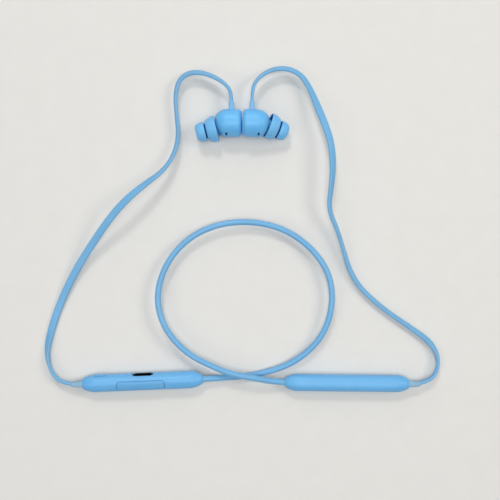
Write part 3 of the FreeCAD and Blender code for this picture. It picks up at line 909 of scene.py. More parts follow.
NECK_CABLE_ROUTE: tuple[Point, ...] = (
    (-0.0212, -0.06384, 0.00417),
    (-0.0154, -0.0636, 0.00395),
    (-0.0084, -0.0633, 0.0019),
    (0.0006, -0.0628, 0.0016),
    (0.0113, -0.0606, 0.0019),
    (0.0215, -0.0569, 0.0028),
    (0.0308, -0.0504, 0.0038),
    (0.0379, -0.0416, 0.0046),
    (0.0416, -0.0306, 0.0051),
    (0.0419, -0.0186, 0.0053),
    (0.038, -0.0081, 0.0053),
    (0.0297, 0.0016, 0.0051),
    (0.0189, 0.0087, 0.0049),
    (0.006, 0.0122, 0.0048),
    (-0.0074, 0.0123, 0.0048),
    (-0.0201, 0.0088, 0.005),
    (-0.0311, 0.0015, 0.0054),
    (-0.0389, -0.009, 0.006),
    (-0.0427, -0.0215, 0.0066),
    (-0.0415, -0.033, 0.007),
    (-0.0356, -0.0439, 0.0072),
    (-0.0263, -0.0523, 0.0073),
    (-0.0161, -0.0572, 0.0074),
    (-0.0068, -0.061, 0.0075),
    (0.0064, -0.0633, 0.0075),
    (0.0132, -0.0649, 0.0047),
    (0.0194, -0.06541, 0.00405),
)

LEFT_RIBBON_ROUTE: tuple[Point, ...] = (
    (-0.0068, 0.0693, 0.00667),
    (-0.0068, 0.0745, 0.00667),
    (-0.0093, 0.0784, 0.0066),
    (-0.0144, 0.082, 0.0062),
    (-0.0211, 0.0846, 0.0055),
    (-0.028, 0.0846, 0.0048),
    (-0.0327, 0.0805, 0.0043),
    (-0.0343, 0.0736, 0.004),
    (-0.0336, 0.0642, 0.0038),
    (-0.0325, 0.0542, 0.004),
    (-0.0347, 0.0443, 0.0054),
    (-0.0401, 0.0362, 0.0082),
    (-0.0483, 0.0298, 0.0116),
    (-0.0568, 0.0225, 0.0132),
    (-0.065, 0.0135, 0.0108),
    (-0.0726, 0.0035, 0.007),
    (-0.0804, -0.0076, 0.0038),
    (-0.0869, -0.0192, 0.0019),
    (-0.0921, -0.0312, 0.0011),
    (-0.0957, -0.0429, 0.0011),
    (-0.097, -0.0506, 0.0019),
    (-0.0961, -0.0569, 0.0027),
    (-0.0932, -0.062, 0.0035),
    (-0.0892, -0.0655, 0.00405),
    (-0.0835, -0.06631, 0.00417),
)

RIGHT_RIBBON_ROUTE: tuple[Point, ...] = (
    (0.00307, 0.0691, 0.00795),
    (0.00325, 0.0744, 0.00795),
    (0.00415, 0.079, 0.00755),
    (0.0083, 0.0836, 0.0065),
    (0.0146, 0.0865, 0.0057),
    (0.0218, 0.0863, 0.0051),
    (0.0276, 0.0828, 0.0049),
    (0.0316, 0.0759, 0.0055),
    (0.0348, 0.0676, 0.0068),
    (0.038, 0.0594, 0.0084),
    (0.0409, 0.0502, 0.0098),
    (0.0419, 0.0401, 0.0104),
    (0.0411, 0.0294, 0.0099),
    (0.0398, 0.0182, 0.0082),
    (0.044, 0.0095, 0.006),
    (0.0474, -0.0006, 0.0038),
    (0.0506, -0.0108, 0.0023),
    (0.055, -0.0186, 0.0018),
    (0.0626, -0.0262, 0.0018),
    (0.0716, -0.0331, 0.0018),
    (0.0806, -0.0392, 0.0018),
    (0.0874, -0.044, 0.0018),
    (0.0917, -0.0484, 0.0019),
    (0.0941, -0.0541, 0.0024),
    (0.093, -0.06, 0.0031),
    (0.0894, -0.0647, 0.0038),
    (0.0835, -0.06613, 0.00405),
)


@dataclass(frozen=True)
class Cable:
    """A cable of one section that follows a smooth line through its route.

    Attributes:
        name: The piece's name.
        node: The CAD node that it stands for.
        route: The line's control points.
        width: Its width across the flats, in metres.
        thickness: Its thickness, in metres.
        corner: The radius of its section's corners, in metres.
        turns: (distance from its start in millimetres, turn in degrees). 0 lies flat and 90
            stands on edge.
        length: Its real length, in metres. Not used.
        facets: Faces round each corner of its section.
    """

    name: str
    node: str
    route: tuple[Point, ...]
    width: float
    thickness: float
    corner: float
    turns: tuple[tuple[float, float], ...]
    length: float
    facets: int = 6

    LINE_STEPS = 14
    # A twist is eased over its neighbours by a bell curve of this width and reach, in samples.
    TWIST_SAMPLES = 400
    TWIST_WIDTH = 8.0
    TWIST_REACH = 24

    def line(self) -> np.ndarray:
        """Reads the smooth line from a bare NURBS spline through the route.

        Returns:
            The line's points, one row each.
        """
        data = bpy.data.curves.new(self.name + "_line", "CURVE")
        data.dimensions = "3D"
        spline = data.splines.new("NURBS")
        spline.points.add(len(self.route) - 1)
        for knot, place in zip(spline.points, self.route, strict=True):
            knot.co = (*place, 1.0)
        spline.order_u = 3
        spline.use_endpoint_u = True
        spline.resolution_u = self.LINE_STEPS
        bare = bpy.data.objects.new(self.name + "_line", data)
        mesh = bpy.data.meshes.new_from_object(bare)
        points = np.array([v.co for v in mesh.vertices])
        bpy.data.meshes.remove(mesh)
        bpy.data.objects.remove(bare)
        bpy.data.curves.remove(data)
        gaps = np.linalg.norm(np.diff(points, axis=0), axis=1)
        return points[np.concatenate([[True], gaps > MERGE])]

    def section(self) -> np.ndarray:
        """Rounds the corners of the section.

        Returns:
            Its outline as (across, through) pairs in metres, once round.
        """
        half_across = self.width / 2 - self.corner
        half_through = self.thickness / 2 - self.corner
        outline = []
        for quarter, (sx, sy) in enumerate(((1, 1), (-1, 1), (-1, -1), (1, -1))):
            for step in range(self.facets + 1):
                angle = (quarter + step / self.facets) * math.pi / 2
                across = sx * half_across + self.corner * math.cos(angle)
                through = sy * half_through + self.corner * math.sin(angle)
                outline.append((across, through))
        before = outline[-1:] + outline[:-1]
        kept = [p for p, q in zip(outline, before, strict=True) if math.dist(p, q) > MERGE]
        return np.array(kept)

    def frames(self, line: np.ndarray) -> tuple[np.ndarray, np.ndarray, np.ndarray]:
        """Works out which way the section faces all along the line.

        Args:
            line: The line's points.

        Returns:
            The distance along the line, and the across and through directions, one row a point.
        """
        steps = np.linalg.norm(np.diff(line, axis=0), axis=1)
        along = np.concatenate([[0.0], np.cumsum(steps)])
        ahead = np.gradient(line, along, axis=0)
        ahead /= np.linalg.norm(ahead, axis=1)[:, None]
        level = np.cross((0.0, 0.0, 1.0), ahead)
        level /= np.linalg.norm(level, axis=1)[:, None]
        upward = np.cross(ahead, level)
        stations, angles = np.array(self.turns).T
        span = along[-1] / MM
        fine = np.linspace(0.0, span, self.TWIST_SAMPLES)
        raw = np.interp(fine, stations / stations[-1] * span, angles)
        reach = np.arange(-self.TWIST_REACH, self.TWIST_REACH + 1)
        bell = np.exp(-0.5 * (reach / self.TWIST_WIDTH) ** 2)
        padded = np.pad(raw, self.TWIST_REACH, mode="edge")
        eased_angles = np.convolve(padded, bell / bell.sum(), mode="valid")
        angle = np.radians(np.interp(along / MM, fine, eased_angles))[:, None]
        across = level * np.cos(angle) + upward * np.sin(angle)
        through = upward * np.cos(angle) - level * np.sin(angle)
        return along, across, through

    def build(self) -> tuple[bpy.types.Object, np.ndarray]:
        """Sweeps the section along the line, with U round it and V along it in metres.

        Returns:
            The cable and the line that it follows.
        """
        line = self.line()
        outline = self.section()
        along, across, through = self.frames(line)
        rings = len(line)
        sides = len(outline)
        points = (
            line[:, None, :]
            + outline[None, :, :1] * across[:, None, :]
            + outline[None, :, 1:] * through[:, None, :]
        ).reshape(-1, 3)
        faces = []
        marks = []
        girth = np.linalg.norm(np.diff(outline, axis=0, append=outline[:1]), axis=1)
        round_it = np.concatenate([[0.0], np.cumsum(girth)])
        for ring in range(rings - 1):
            for side in range(sides):
                following = (side + 1) % sides
                low = ring * sides
                high = low + sides
                faces.append((low + side, low + following, high + following, high + side))
                near, far = along[ring], along[ring + 1]
                first, last = round_it[side], round_it[side + 1]
                marks += [(first, near), (last, near), (last, far), (first, far)]
        faces.append(tuple(reversed(range(sides))))
        faces.append(tuple(range((rings - 1) * sides, rings * sides)))
        marks += [(0.0, 0.0)] * (2 * sides)
        mesh = bpy.data.meshes.new(self.name)
        mesh.from_pydata(points.tolist(), [], faces)
        layer = mesh.uv_layers.new(name="along")
        layer.data.foreach_set("uv", np.array(marks, np.float32).ravel())
        piece = bpy.data.objects.new(self.name, mesh)
        bpy.context.scene.collection.objects.link(piece)
        with editing(piece):
            bpy.ops.mesh.select_all(action="SELECT")
            bpy.ops.mesh.normals_make_consistent(inside=False)
        only(piece)
        bpy.ops.object.shade_smooth_by_angle(angle=SMOOTH_ANGLE)
        return piece, line


NECK_CABLE = Cable(
    name="neck_cable_jacket",
    node="neck_cable",
    route=NECK_CABLE_ROUTE,
    width=0.0029,
    thickness=0.0029,
    corner=0.00145,
    turns=((0.0, 0.0), (290.0, 0.0)),
    length=0.288,
)

LEFT_RIBBON = Cable(
    name="left_ribbon_jacket",
    node="left_ribbon",
    route=LEFT_RIBBON_ROUTE,
    width=0.0036,
    thickness=0.0015,
    corner=0.0007,
    turns=(
        (0.0, 90.0),
        (8.0, 84.0),
        (14.0, 66.0),
        (20.0, 58.0),
        (34.0, 54.0),
        (39.0, 68.0),
        (46.0, 80.0),
        (55.0, 72.0),
        (62.0, 72.0),
        (67.0, 62.0),
        (75.0, 71.0),
        (84.0, 60.0),
        (90.0, 52.0),
        (97.0, 30.0),
        (106.0, 12.0),
        (120.0, 3.0),
        (178.0, 4.0),
        (188.0, 52.0),
        (195.0, 74.0),
        (201.0, 88.0),
        (212.0, 90.0),
    ),
    length=0.212,
)

RIGHT_RIBBON = Cable(
    name="right_ribbon_jacket",
    node="right_ribbon",
    route=RIGHT_RIBBON_ROUTE,
    width=0.0036,
    thickness=0.0015,
    corner=0.0007,
    turns=(
        (0.0, -90.0),
        (9.0, -82.0),
        (16.0, -70.0),
        (20.0, -62.0),
        (26.0, -52.0),
        (44.0, -48.0),
        (49.0, -38.0),
        (57.0, -8.0),
        (62.0, -12.0),
        (68.0, -24.0),
        (76.0, -34.0),
        (86.0, -46.0),
        (95.0, -58.0),
        (103.0, -66.0),
        (125.0, -70.0),
        (143.0, -62.0),
        (160.0, -68.0),
        (174.0, -66.0),
        (183.0, -54.0),
        (188.0, -46.0),
        (194.0, -68.0),
        (200.0, -88.0),
        (214.0, -90.0),
    ),
    length=0.214,
)


# ---------------------------------------------------------------- earbuds


@dataclass(frozen=True)
class Bud:
    """Where one earbud lies, and its soft pieces.

    Attributes:
        side: "left" or "right".
        back: The centre of its back face.
        yaw: Its turn on the table, in degrees.
        slant: How far the nozzle leans from the barrel's axis, in degrees.
        clock: The turn of that lean about the barrel, in degrees, from level towards the table.
        pivot: The point that the nozzle leans about, in the earbud's own axes.
        sleeve_x: How far the cable sleeve is from the back face, in metres.
        body: The body of its shell.
        tip_body: The body of its ear tip.
    """

    side: str
    back: Point
    yaw: float
    slant: float
    clock: float
    pivot: Point
    sleeve_x: float
    body: Body
    tip_body: Body

    SLEEVE_ROOT = 5.1 * MM

    def frame(self) -> Matrix:
        """Finds the earbud's own axes, mirrored for the left one.

        Returns:
            Their turn and place.
        """
        turn = Matrix.Rotation(math.radians(self.yaw), 4, (0, 0, 1))
        flip = Matrix.Scale(-1 if self.side == "left" else 1, 4, (1, 0, 0))
        return Matrix.Translation(self.back) @ turn @ flip

    def nozzle(self) -> Matrix:
        """Finds the nozzle's axes.

        Returns:
            Axes whose X runs out along the nozzle from its pivot.
        """
        clock = math.radians(self.clock)
        slant = math.radians(self.slant)
        sine = math.sin(slant)
        own = Vector((math.cos(slant), -sine * math.cos(clock), -sine * math.sin(clock)))
        axes = self.frame()
        way = (axes.to_3x3() @ own).normalized()
        turn = Vector((1, 0, 0)).rotation_difference(way).to_matrix().to_4x4()
        return Matrix.Translation(axes @ Vector(self.pivot)) @ turn

    def sleeve(self) -> Matrix:
        """Finds the cable sleeve's axes.

        Returns:
            Axes whose X runs out along the sleeve, with Z across the ribbon's width.
        """
        axes = self.frame()
        along = (axes.to_3x3() @ Vector((0, 1, 0))).normalized()
        across = (axes.to_3x3() @ Vector((0, 0, 1))).normalized()
        through = across.cross(along)
        place = axes @ Vector((self.sleeve_x, self.SLEEVE_ROOT, 0))
        turn = Matrix((along, through, across)).transposed().to_4x4()
        return Matrix.Translation(place) @ turn


LEFT_BUD = Bud(
    side="left",
    back=(-0.00195, 0.0599, 0.00667),
    yaw=0.0,
    slant=13.5,
    clock=5.0,
    pivot=(0.0049, -0.0009, 0.0),
    sleeve_x=0.00485,
    body=Body.LEFT_EARBUD,
    tip_body=Body.LEFT_TIP,
)

RIGHT_BUD = Bud(
    side="right",
    back=(-0.0015, 0.05985, 0.00795),
    yaw=-2.0,
    slant=21.5,
    clock=34.0,
    pivot=(0.0055, 0.0016, 0.0),
    sleeve_x=0.00425,
    body=Body.RIGHT_EARBUD,
    tip_body=Body.RIGHT_TIP,
)


@dataclass(frozen=True)
class Hollow:
    """The space under one skirt of an ear tip, whose walls get painted shade, in millimetres from
    the nozzle's pivot and axis.

    Attributes:
        start: Where it begins along the axis.
        end: Where it ends.
        inner: The least radius of its walls.
        outer: The greatest radius of its walls.
        stem: The radius under which every wall is in it.
        lean: Beyond that radius, a wall is in it if its normal leans outwards by less than this.
    """

    start: float
    end: float
    inner: float
    outer: float
    stem: float
    lean: float

    def holds(self, along: float, radius: float, outward: float) -> bool:
        """Tells whether a point of the tip's surface is on a wall under this skirt, where shade is
        painted.

        Args:
            along: How far along the axis the point is.
            radius: How far from the axis it is.
            outward: How much its normal leans outwards, from -1 to 1.

        Returns:
            Whether it is.
        """
        reached = self.start < along < self.end and self.inner < radius < self.outer
        return reached and (outward < self.lean or radius < self.stem)


@dataclass(frozen=True)
class EarTip:
    """A double-flange silicone tip: a bored stem, a wide skirt and a small domed skirt.

    Attributes:
        bud: The earbud that it is on.
        profile: (distance from the nozzle's pivot, radius) corners in millimetres.
        hollows: The spaces under its two skirts, where shade is painted.
        steps: Facets round the axis.
    """

    bud: Bud
    profile: tuple[tuple[float, float], ...] = (
        (8.5, 2.68),
        (8.42, 2.95),
        (8.6, 3.25),
        (9.6, 3.32),
        (10.7, 3.38),
        (11.05, 3.7),
        (10.9, 4.3),
        (10.2, 4.95),
        (9.2, 5.4),
        (8.0, 5.66),
        (7.5, 5.72),
        (7.35, 5.95),
        (7.5, 6.19),
        (8.1, 6.24),
        (9.1, 6.12),
        (10.1, 5.85),
        (11.1, 5.45),
        (11.9, 5.0),
        (12.2, 4.7),
        (12.3, 4.2),
        (12.35, 3.7),
        (12.6, 3.4),
        (13.4, 3.3),
        (14.7, 3.34),
        (14.95, 3.6),
        (14.6, 3.9),
        (13.8, 4.12),
        (13.2, 4.18),
        (12.98, 4.38),
        (13.12, 4.6),
        (13.7, 4.68),
        (14.4, 4.65),
        (15.4, 4.45),
        (16.3, 4.08),
        (16.95, 3.6),
        (17.35, 2.9),
        (17.45, 2.3),
        (17.35, 1.95),
        (17.05, 1.8),
        (16.4, 1.78),
        (12.8, 1.78),
        (12.6, 1.8),
        (12.58, 2.6),
        (12.45, 2.68),
    )
    hollows: tuple[Hollow, ...] = (
        Hollow(start=7.9, end=11.2, inner=2.9, outer=5.75, stem=4.4, lean=0.0),
        Hollow(start=12.3, end=15.1, inner=3.2, outer=4.3, stem=3.8, lean=0.3),
    )
    steps: int = 40

    def build(self) -> bpy.types.Object:
        """Turns the profile, softens it and sets it on its nozzle.

        Returns:
            The tip.
        """
        tip = turned(self.bud.side + "_silicone_tip", self.profile, self.steps)
        smoothed(tip, 2)
        self.paint_hollow_shade(tip)
        only(tip)
        bpy.ops.object.shade_smooth()
        placed(tip, self.bud.nozzle())
        return tip

    def paint_hollow_shade(self, tip: bpy.types.Object) -> None:
        """Marks the walls under the two skirts, where shade is painted on the silicone as a deeper
        blue.

        Args:
            tip: The finished tip, still along its own axis.
        """
        mesh = tip.data
        marks = mesh.attributes.new("hollow_shade", "FLOAT", "POINT")
        for point, mark in zip(mesh.vertices, marks.data, strict=True):
            spoke = Vector((0.0, point.co.y, point.co.z))
            along = point.co.x / MM
            radius = spoke.length / MM
            outward = spoke.normalized().dot(point.normal)
            inside = any(hollow_shade.holds(along, radius, outward) for hollow_shade in self.hollows)
            mark.value = 1.0 if inside else 0.0

    def dress(self, finish: bpy.types.Material) -> None:
        """Builds the tip, rides it on its body and lets it stand for the CAD tip."""
        node = self.bud.side + "_ear_tip"
        fitted(self.build(), finish, self.bud.tip_body, [node])


# ---------------------------------------------------------------- sleeves and collars


@dataclass(frozen=True)
class ReliefSleeve:
    """A soft tapered sleeve where a flat ribbon leaves a housing.

    Attributes:
        name: The piece's name.
        node: The CAD node that it stands for.
        body: The body that it rides on.
        place: Axes with X out along the ribbon and Z across its width.
        stations: (distance from the root, thickness, width) in millimetres.
        edge: The rounding of its long edges, in millimetres.
        end_edge: The rounding of its ends, in millimetres.
    """

    name: str
    node: str
    body: Body
    place: Matrix
    stations: tuple[Point, ...]
    edge: float = 0.75
    end_edge: float = 0.15

    def build(self) -> bpy.types.Object:
        """Draws the sleeve out of a thin block, station by station, and rounds it.

        Returns:
            The sleeve.
        """
        bpy.ops.object.select_all(action="DESELECT")
        bpy.ops.mesh.primitive_cube_add(size=1.0)
        sleeve = bpy.context.active_object
        sleeve.name = self.name
        start, thick, wide = self.stations[0]
        slab = (self.stations[1][0] - start) * MM
        with editing(sleeve):
            bpy.ops.mesh.select_all(action="SELECT")
            bpy.ops.transform.resize(value=(slab, thick * MM, wide * MM), center_override=(0, 0, 0))
            bpy.ops.transform.translate(value=(start * MM + slab / 2, 0, 0))
            before = self.stations[0]
            for station in self.stations[1:]:
                step = (station[0] - before[0]) * MM
                choose_faces(sleeve, lambda centre, normal: normal.x > 0.9)
                if before is not self.stations[0]:
                    bpy.ops.mesh.extrude_region_move(TRANSFORM_OT_translate={"value": (step, 0, 0)})
                ratio = (1.0, station[1] / before[1], station[2] / before[2])
                bpy.ops.transform.resize(value=ratio, center_override=(station[0] * MM, 0, 0))
                before = station
            choose_edges(sleeve, lambda a, b: abs(a.x - b.x) > 10 * MERGE)
            bpy.ops.mesh.bevel(
                offset=self.edge * MM,
                segments=4,
                affect="EDGES",
                clamp_overlap=True,
            )
        eased(sleeve, self.end_edge * MM, segments=3, angle=30.0)
        only(sleeve)
        bpy.ops.object.shade_smooth_by_angle(angle=SMOOTH_ANGLE)
        placed(sleeve, self.place)
        return sleeve

    def dress(self, finish: bpy.types.Material) -> bpy.types.Object:
        """Builds the sleeve, rides it and lets it stand for the CAD sleeve."""
        return fitted(self.build(), finish, self.body, [self.node])


@dataclass(frozen=True)
class Module:
    """Where one of the two bars on the neck cable lies.

    Attributes:
        centre: Its centre.
        yaw: Its turn on the table, in degrees.
        roll: Its roll about its length, in degrees.
        length: Its length, in metres.
        neck_side: The end that the neck cable leaves by: 1 or -1.
    """

    centre: Point
    yaw: float
    roll: float
    length: float
    neck_side: int

    def frame(self) -> Matrix:
        """The turn and place of the module's own axes."""
        turn = Euler((math.radians(self.roll), 0.0, math.radians(self.yaw)))
        return Matrix.Translation(self.centre) @ turn.to_matrix().to_4x4()

    def ribbon_exit(self, root: float) -> Matrix:
        """Finds the ribbon sleeve's axes.

        Args:
            root: How deep in the module the sleeve begins, in metres.

        Returns:
            Axes with X out of the module and Z upright on the table.
        """
        axes = Euler((0.0, 0.0, math.radians(self.yaw))).to_matrix()
        side = -self.neck_side
        along = axes @ Vector((side, 0, 0))
        across = Vector((0, 0, 1))
        through = across.cross(along)
        place = Vector(self.centre) + along * (self.length / 2 - root)
        return Matrix.Translation(place) @ Matrix((along, through, across)).transposed().to_4x4()

    def neck_exit(self) -> Matrix:
        """Axes of the neck cable's collar: X out of the module, from its end face."""
        turn = Matrix.Rotation(0.0 if self.neck_side > 0 else math.pi, 4, (0, 0, 1))
        return self.frame() @ Matrix.Translation((self.neck_side * self.length / 2, 0, 0)) @ turn


CONTROL = Module((-0.05005, -0.065, 0.00417), 2.3, 25.0, 0.059, 1)
BATTERY = Module((0.04915, -0.06575, 0.00405), -0.65, 0.0, 0.0608, -1)


@dataclass(frozen=True)
class NeckCollar:
    """A ring of soft elastomer that closes the hole round the neck cable.

    Attributes:
        name: The piece's name.
        node: The CAD node that it stands for.
        module: The module that it is in.
        profile: (distance from the end face, radius) corners in millimetres.
        steps: Facets round the axis.
    """

    name: str
    node: str
    module: Module
    profile: tuple[tuple[float, float], ...] = (
        (-2.4, 1.47),
        (-2.4, 1.75),
        (-0.3, 1.75),
        (-0.02, 1.74),
        (0.1, 1.67),
        (0.14, 1.58),
        (0.08, 1.5),
        (-0.1, 1.46),
    )
    steps: int = 32

    def dress(self, finish: bpy.types.Material) -> None:
        """Turns the ring, softens its lip and lets it stand for the CAD collar.

        Args:
            finish: Its material.
        """
        ring = turned(self.name, self.profile, self.steps)
        smoothed(ring, 1)
        only(ring)
        bpy.ops.object.shade_smooth()
        placed(ring, self.module.neck_exit())
        fitted(ring, finish, Body.NECKBAND, [self.node])


@dataclass(frozen=True)
class PortContacts:
    """The plated contacts on both faces of the charging port's tongue.

    Attributes:
        count: Contacts on each face.
        pitch: Their spacing, in metres.
        size: Length, width and thickness of one, in metres.
        middle: The middle of the tongue under the row, in the module's own axes.
        tongue: The tongue's thickness, in metres.
        edge: The bevel of a contact's edges, in metres.
    """

    count: int = 12
    pitch: float = 0.0005
    size: Point = (0.00025, 0.0034, 0.00006)
    middle: Point = (0.0005, 0.0004, -0.0005)
    tongue: float = 0.0007
    edge: float = 0.00002

    def dress(self, finish: bpy.types.Material) -> None:
        """Makes one contact, repeats it along the tongue and turns a second row under it.

        Args:
            finish: Its material.
        """
        bpy.ops.object.select_all(action="DESELECT")
        bpy.ops.mesh.primitive_cube_add(size=1.0)
        row = bpy.context.active_object
        row.name = "port_contacts"
        first = -(self.count - 1) / 2 * self.pitch
        with editing(row):
            bpy.ops.mesh.select_all(action="SELECT")
            bpy.ops.transform.resize(value=self.size, center_override=(0, 0, 0))
            bpy.ops.transform.translate(value=(first, 0, self.tongue / 2))
        eased(row, self.edge, segments=1)
        repeat = row.modifiers.new("Repeat", "ARRAY")
        repeat.count = self.count
        repeat.use_relative_offset = False
        repeat.use_constant_offset = True
        repeat.constant_offset_displace = (self.pitch, 0, 0)
        bpy.ops.object.modifier_apply(modifier=repeat.name)
        under = row.modifiers.new("Under", "MIRROR")
        under.use_axis = (False, False, True)
        under.use_clip = False
        under.use_mirror_merge = False
        bpy.ops.object.modifier_apply(modifier=under.name)
        placed(row, CONTROL.frame() @ Matrix.Translation(self.middle))
        fitted(row, finish, Body.NECKBAND)


# ---------------------------------------------------------------- assembly


@dataclass
class Finishes:
    """All the finishes of the earphones, by what they are on.

    Attributes:
        made: The materials by their keys.
    """

    made: dict[str, bpy.types.Material] = field(default_factory=dict)

    # Where the base covers and the back caps meet their shells, from the middle and the back.
    COVER_JOINT = -0.0024
    CAP_JOINT = 0.0011

    def prepare(self) -> None:
        """Makes every material once."""
        cover, cap = self.COVER_JOINT, self.CAP_JOINT
        control_seam = Parting(CONTROL.centre, (CONTROL.roll, 0.0, CONTROL.yaw), "Z", cover)
        battery_seam = Parting(BATTERY.centre, (0.0, 0.0, BATTERY.yaw), "Z", cover)
        left_seam = Parting(LEFT_BUD.back, (0.0, 0.0, 0.0), "X", -cap)
        right_seam = Parting(RIGHT_BUD.back, (0.0, 0.0, RIGHT_BUD.yaw), "X", cap)
        recipes = {
            # Satin ABS: an even colour and a soft broad highlight, with a thin joint line.
            "control": MouldedPlastic(
                "satin_moulded_abs_control", "70BBF0", "6BB6EB", 0.44, parting=control_seam
            ),
            "battery": MouldedPlastic(
                "satin_moulded_abs_battery", "70BBF0", "6BB6EB", 0.44, parting=battery_seam
            ),
            "key": MouldedPlastic("satin_moulded_abs_key", "6DB6EA", "68B1E5", 0.46),
            "left_bud": MouldedPlastic(
                "satin_moulded_abs_left_bud", "6CC0F8", "67BBF4", 0.42, parting=left_seam
            ),
            "right_bud": MouldedPlastic(
                "satin_moulded_abs_right_bud", "6CC0F8", "67BBF4", 0.42, parting=right_seam
            ),
            # Silicone: matt and soft at its thin edges, with painted shade in deep blue under its
            # skirts.
            "tip": SoftElastomer(
                "matt_moulded_silicone",
                "7CC4F5",
                "76BFF1",
                0.52,
                1.41,
                depth=0.0005,
                hollow_shade="1F62A4",
            ),
            # Elastomer sleeves: a milky, slightly see-through look beside the solid mouldings.
            "sleeve": SoftElastomer(
                "satin_moulded_elastomer",
                "93BBD5",
                "8DB5CF",
                0.5,
                1.48,
                depth=0.0008,
                softness=0.3,
            ),
            "bud_sleeve": SoftElastomer(
                "satin_moulded_elastomer_bud",
                "80BCE9",
                "7AB6E3",
                0.5,
                1.48,
                depth=0.0008,
                softness=0.3,
            ),
            # Jackets: satin, with a long thin highlight that the die's lines break up.
            "round_jacket": ExtrudedJacket(
                "extruded_elastomer_round", "76B7E4", "71B2E0", 0.42, 1.49
            ),
            "flat_jacket": ExtrudedJacket(
                "extruded_elastomer_flat", "76B6E2", "71B1DE", 0.45, 1.49
            ),
            # Inner parts: board green, bare and plated metals, black nylon and foam.
            "board": SolderMask("glass_epoxy_solder_mask", "12402A", "174A31", 0.3),
            "steel": WorkedMetal("rolled_stainless_steel", "B9BBBF", "ABADB2", 0.32),
            "nickel": WorkedMetal("nickel_plated_magnet", "C9CACC", "BEBFC2", 0.18),
            # The port's shell is darkened steel: painted shade of the inside of the port.
            "port": WorkedMetal("port_steel_darkened_painted_shade", "4C5056", "42464C", 0.35),
            "gold": WorkedMetal("gold_plated_contact", "D9B25A", "CDA64E", 0.25),
            "black": MouldedPlastic("glass_filled_nylon_black", "121315", "18191B", 0.5),
            "foam": MouldedPlastic(
                "cellular_foam_black", "1B1C1F", "232427", 0.9, relief=0.00006
            ),
            # Meshes: a grey shimmer on the nozzles, with painted shade in their holes, and near
            # black in the vents, where the whole mesh is painted shade of the recess.
            "mesh": WovenMesh("woven_steel_mesh", "7A7D82", "0B0C0E", 0.4),
            "vent": WovenMesh("vent_steel_mesh_painted_shade", "1C1D20", "050506", 0.6),
            "film": ClearMoulding(
                "drawn_polymer_film", "D8C68C", "CFBC80", 0.2, clearness=0.4
            ),
            "foil": WorkedMetal(
                "laminated_foil_pouch", "C2C6CA", "B3B8BD", 0.35, relief=0.00003
            ),
            "light": ClearMoulding(
                "frosted_clear_polycarbonate", "CFE6F6", "C6DFF1", 0.25, 1.58
            ),
            # Laminate: a plain pale ground that takes soft shadows.
            "table": Tabletop("matt_laminate_off_white", "E6E4DF", "E4E2DD", 0.6),
        }
        for key, recipe in recipes.items():
            self.made[key] = recipe.make()

    def __getitem__(self, key: str) -> bpy.types.Material:
        """The material that goes by a key."""
        return self.made[key]


CAD_FINISHES: dict[str, tuple[str, ...]] = {
    "control": ("control_housing", "control_base_cover"),
    "battery": ("battery_housing", "battery_base_cover"),
    "key": ("volume_rocker", "play_button"),
    "left_bud": ("left_front_shell", "left_back_cap"),
    "right_bud": ("right_front_shell", "right_back_cap"),
    "board": ("control_board", "battery_board"),
    "steel": ("radio_shield", "microphone"),
    "port": ("usb_c_shell",),
    "nickel": (
        "left_driver_magnet",
        "right_driver_magnet",
        "left_latch_magnet",
        "right_latch_magnet",
    ),
    "black": (
        "usb_c_tongue",
        "volume_switches",
        "play_switch",
        "left_driver_basket",
        "right_driver_basket",
    ),
    "foam": ("cell_foam_pad",),
    "mesh": ("microphone_mesh", "left_nozzle_mesh", "right_nozzle_mesh"),
    "vent": ("left_vent_mesh", "right_vent_mesh"),
    "film": ("left_driver_diaphragm", "right_driver_diaphragm"),
    "foil": ("battery_cell",),
    "light": ("status_light",),
}


def dress_cad(finishes: Finishes) -> None:
    """Gives the CAD nodes that stay in view their finishes.

    Args:
        finishes: The finishes.
    """
    for key, nodes in CAD_FINISHES.items():
        for name in nodes:
            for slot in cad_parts[name].material_slots:
                slot.material = finishes[key]
        LOG.info("%s finish is on %d CAD nodes", key, len(nodes))


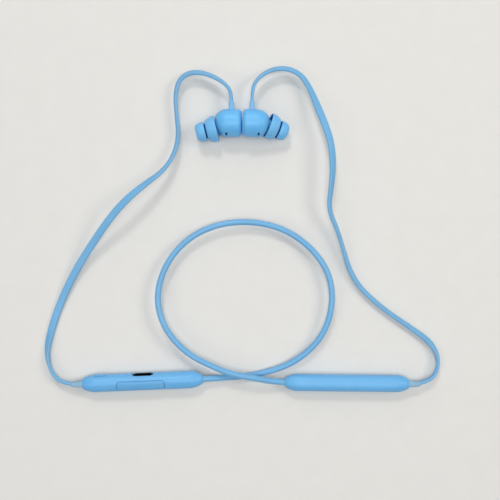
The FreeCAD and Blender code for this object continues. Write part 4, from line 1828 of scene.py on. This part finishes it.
def lay_cables(finishes: Finishes) -> dict[str, tuple[bpy.types.Object, np.ndarray]]:
    """Builds the three cables, rides the neck cable on the neckband and leaves the two ribbons
    unattached in place.

    Args:
        finishes: The finishes.

    Returns:
        Each cable with the line that it follows, by the CAD node that it stands for.
    """
    laid = {}
    jackets = (
        (NECK_CABLE, "round_jacket"),
        (LEFT_RIBBON, "flat_jacket"),
        (RIGHT_RIBBON, "flat_jacket"),
    )
    for cable, key in jackets:
        piece, line = cable.build()
        piece.data.materials.append(finishes[key])
        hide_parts(cable.node)
        laid[cable.node] = (piece, line)
        LOG.info("%s is laid, %d triangles", piece.name, 2 * len(piece.data.polygons))
    neck, _ = laid["neck_cable"]
    left, _ = laid["left_ribbon"]
    right, _ = laid["right_ribbon"]
    neckband = Body.NECKBAND.value
    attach(neck, neckband)
    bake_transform(left)
    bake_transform(right)
    return laid


def build_sleeves(finishes: Finishes) -> dict[str, bpy.types.Object]:
    """Builds the four ribbon sleeves.

    Args:
        finishes: The finishes.

    Returns:
        The sleeves by where they are.
    """
    bud_stations = (
        (0.0, 2.5, 4.4),
        (1.6, 2.5, 4.4),
        (3.6, 2.35, 4.2),
        (4.7, 2.25, 4.1),
        (5.15, 2.05, 3.9),
    )
    module_stations = (
        (0.0, 2.9, 4.6),
        (1.7, 2.9, 4.6),
        (5.2, 2.5, 4.25),
        (6.0, 2.4, 4.15),
        (6.4, 2.1, 3.95),
    )
    module_root = 0.0016
    built = {}
    for bud in (LEFT_BUD, RIGHT_BUD):
        key = bud.side + "_bud"
        sleeve = ReliefSleeve(
            name=key + "_sleeve",
            node=key + "_cable_sleeve",
            body=bud.body,
            place=bud.sleeve(),
            stations=bud_stations,
        )
        built[key] = sleeve.dress(finishes["bud_sleeve"])
    for key, module in (("control", CONTROL), ("battery", BATTERY)):
        sleeve = ReliefSleeve(
            name=key + "_sleeve",
            node=key + "_ribbon_sleeve",
            body=Body.NECKBAND,
            place=module.ribbon_exit(module_root),
            stations=module_stations,
        )
        built[key] = sleeve.dress(finishes["sleeve"])
    return built


def main() -> None:
    """Builds the scene in order and reports each piece."""
    logging.basicConfig(level=logging.INFO, format="%(name)s: %(message)s", stream=sys.stdout)
    finishes = Finishes()
    finishes.prepare()
    studio = Studio()
    studio.set_camera()
    laid = lay_cables(finishes)
    studio.set_light()
    studio.set_table(finishes["table"])
    sleeves = build_sleeves(finishes)
    for bud in (LEFT_BUD, RIGHT_BUD):
        EarTip(bud).dress(finishes["tip"])
    NeckCollar("control_collar", "control_neck_collar", CONTROL).dress(finishes["sleeve"])
    NeckCollar("battery_collar", "battery_neck_collar", BATTERY).dress(finishes["sleeve"])
    PortContacts().dress(finishes["gold"])
    dress_cad(finishes)


if __name__ == "__main__":
    main()
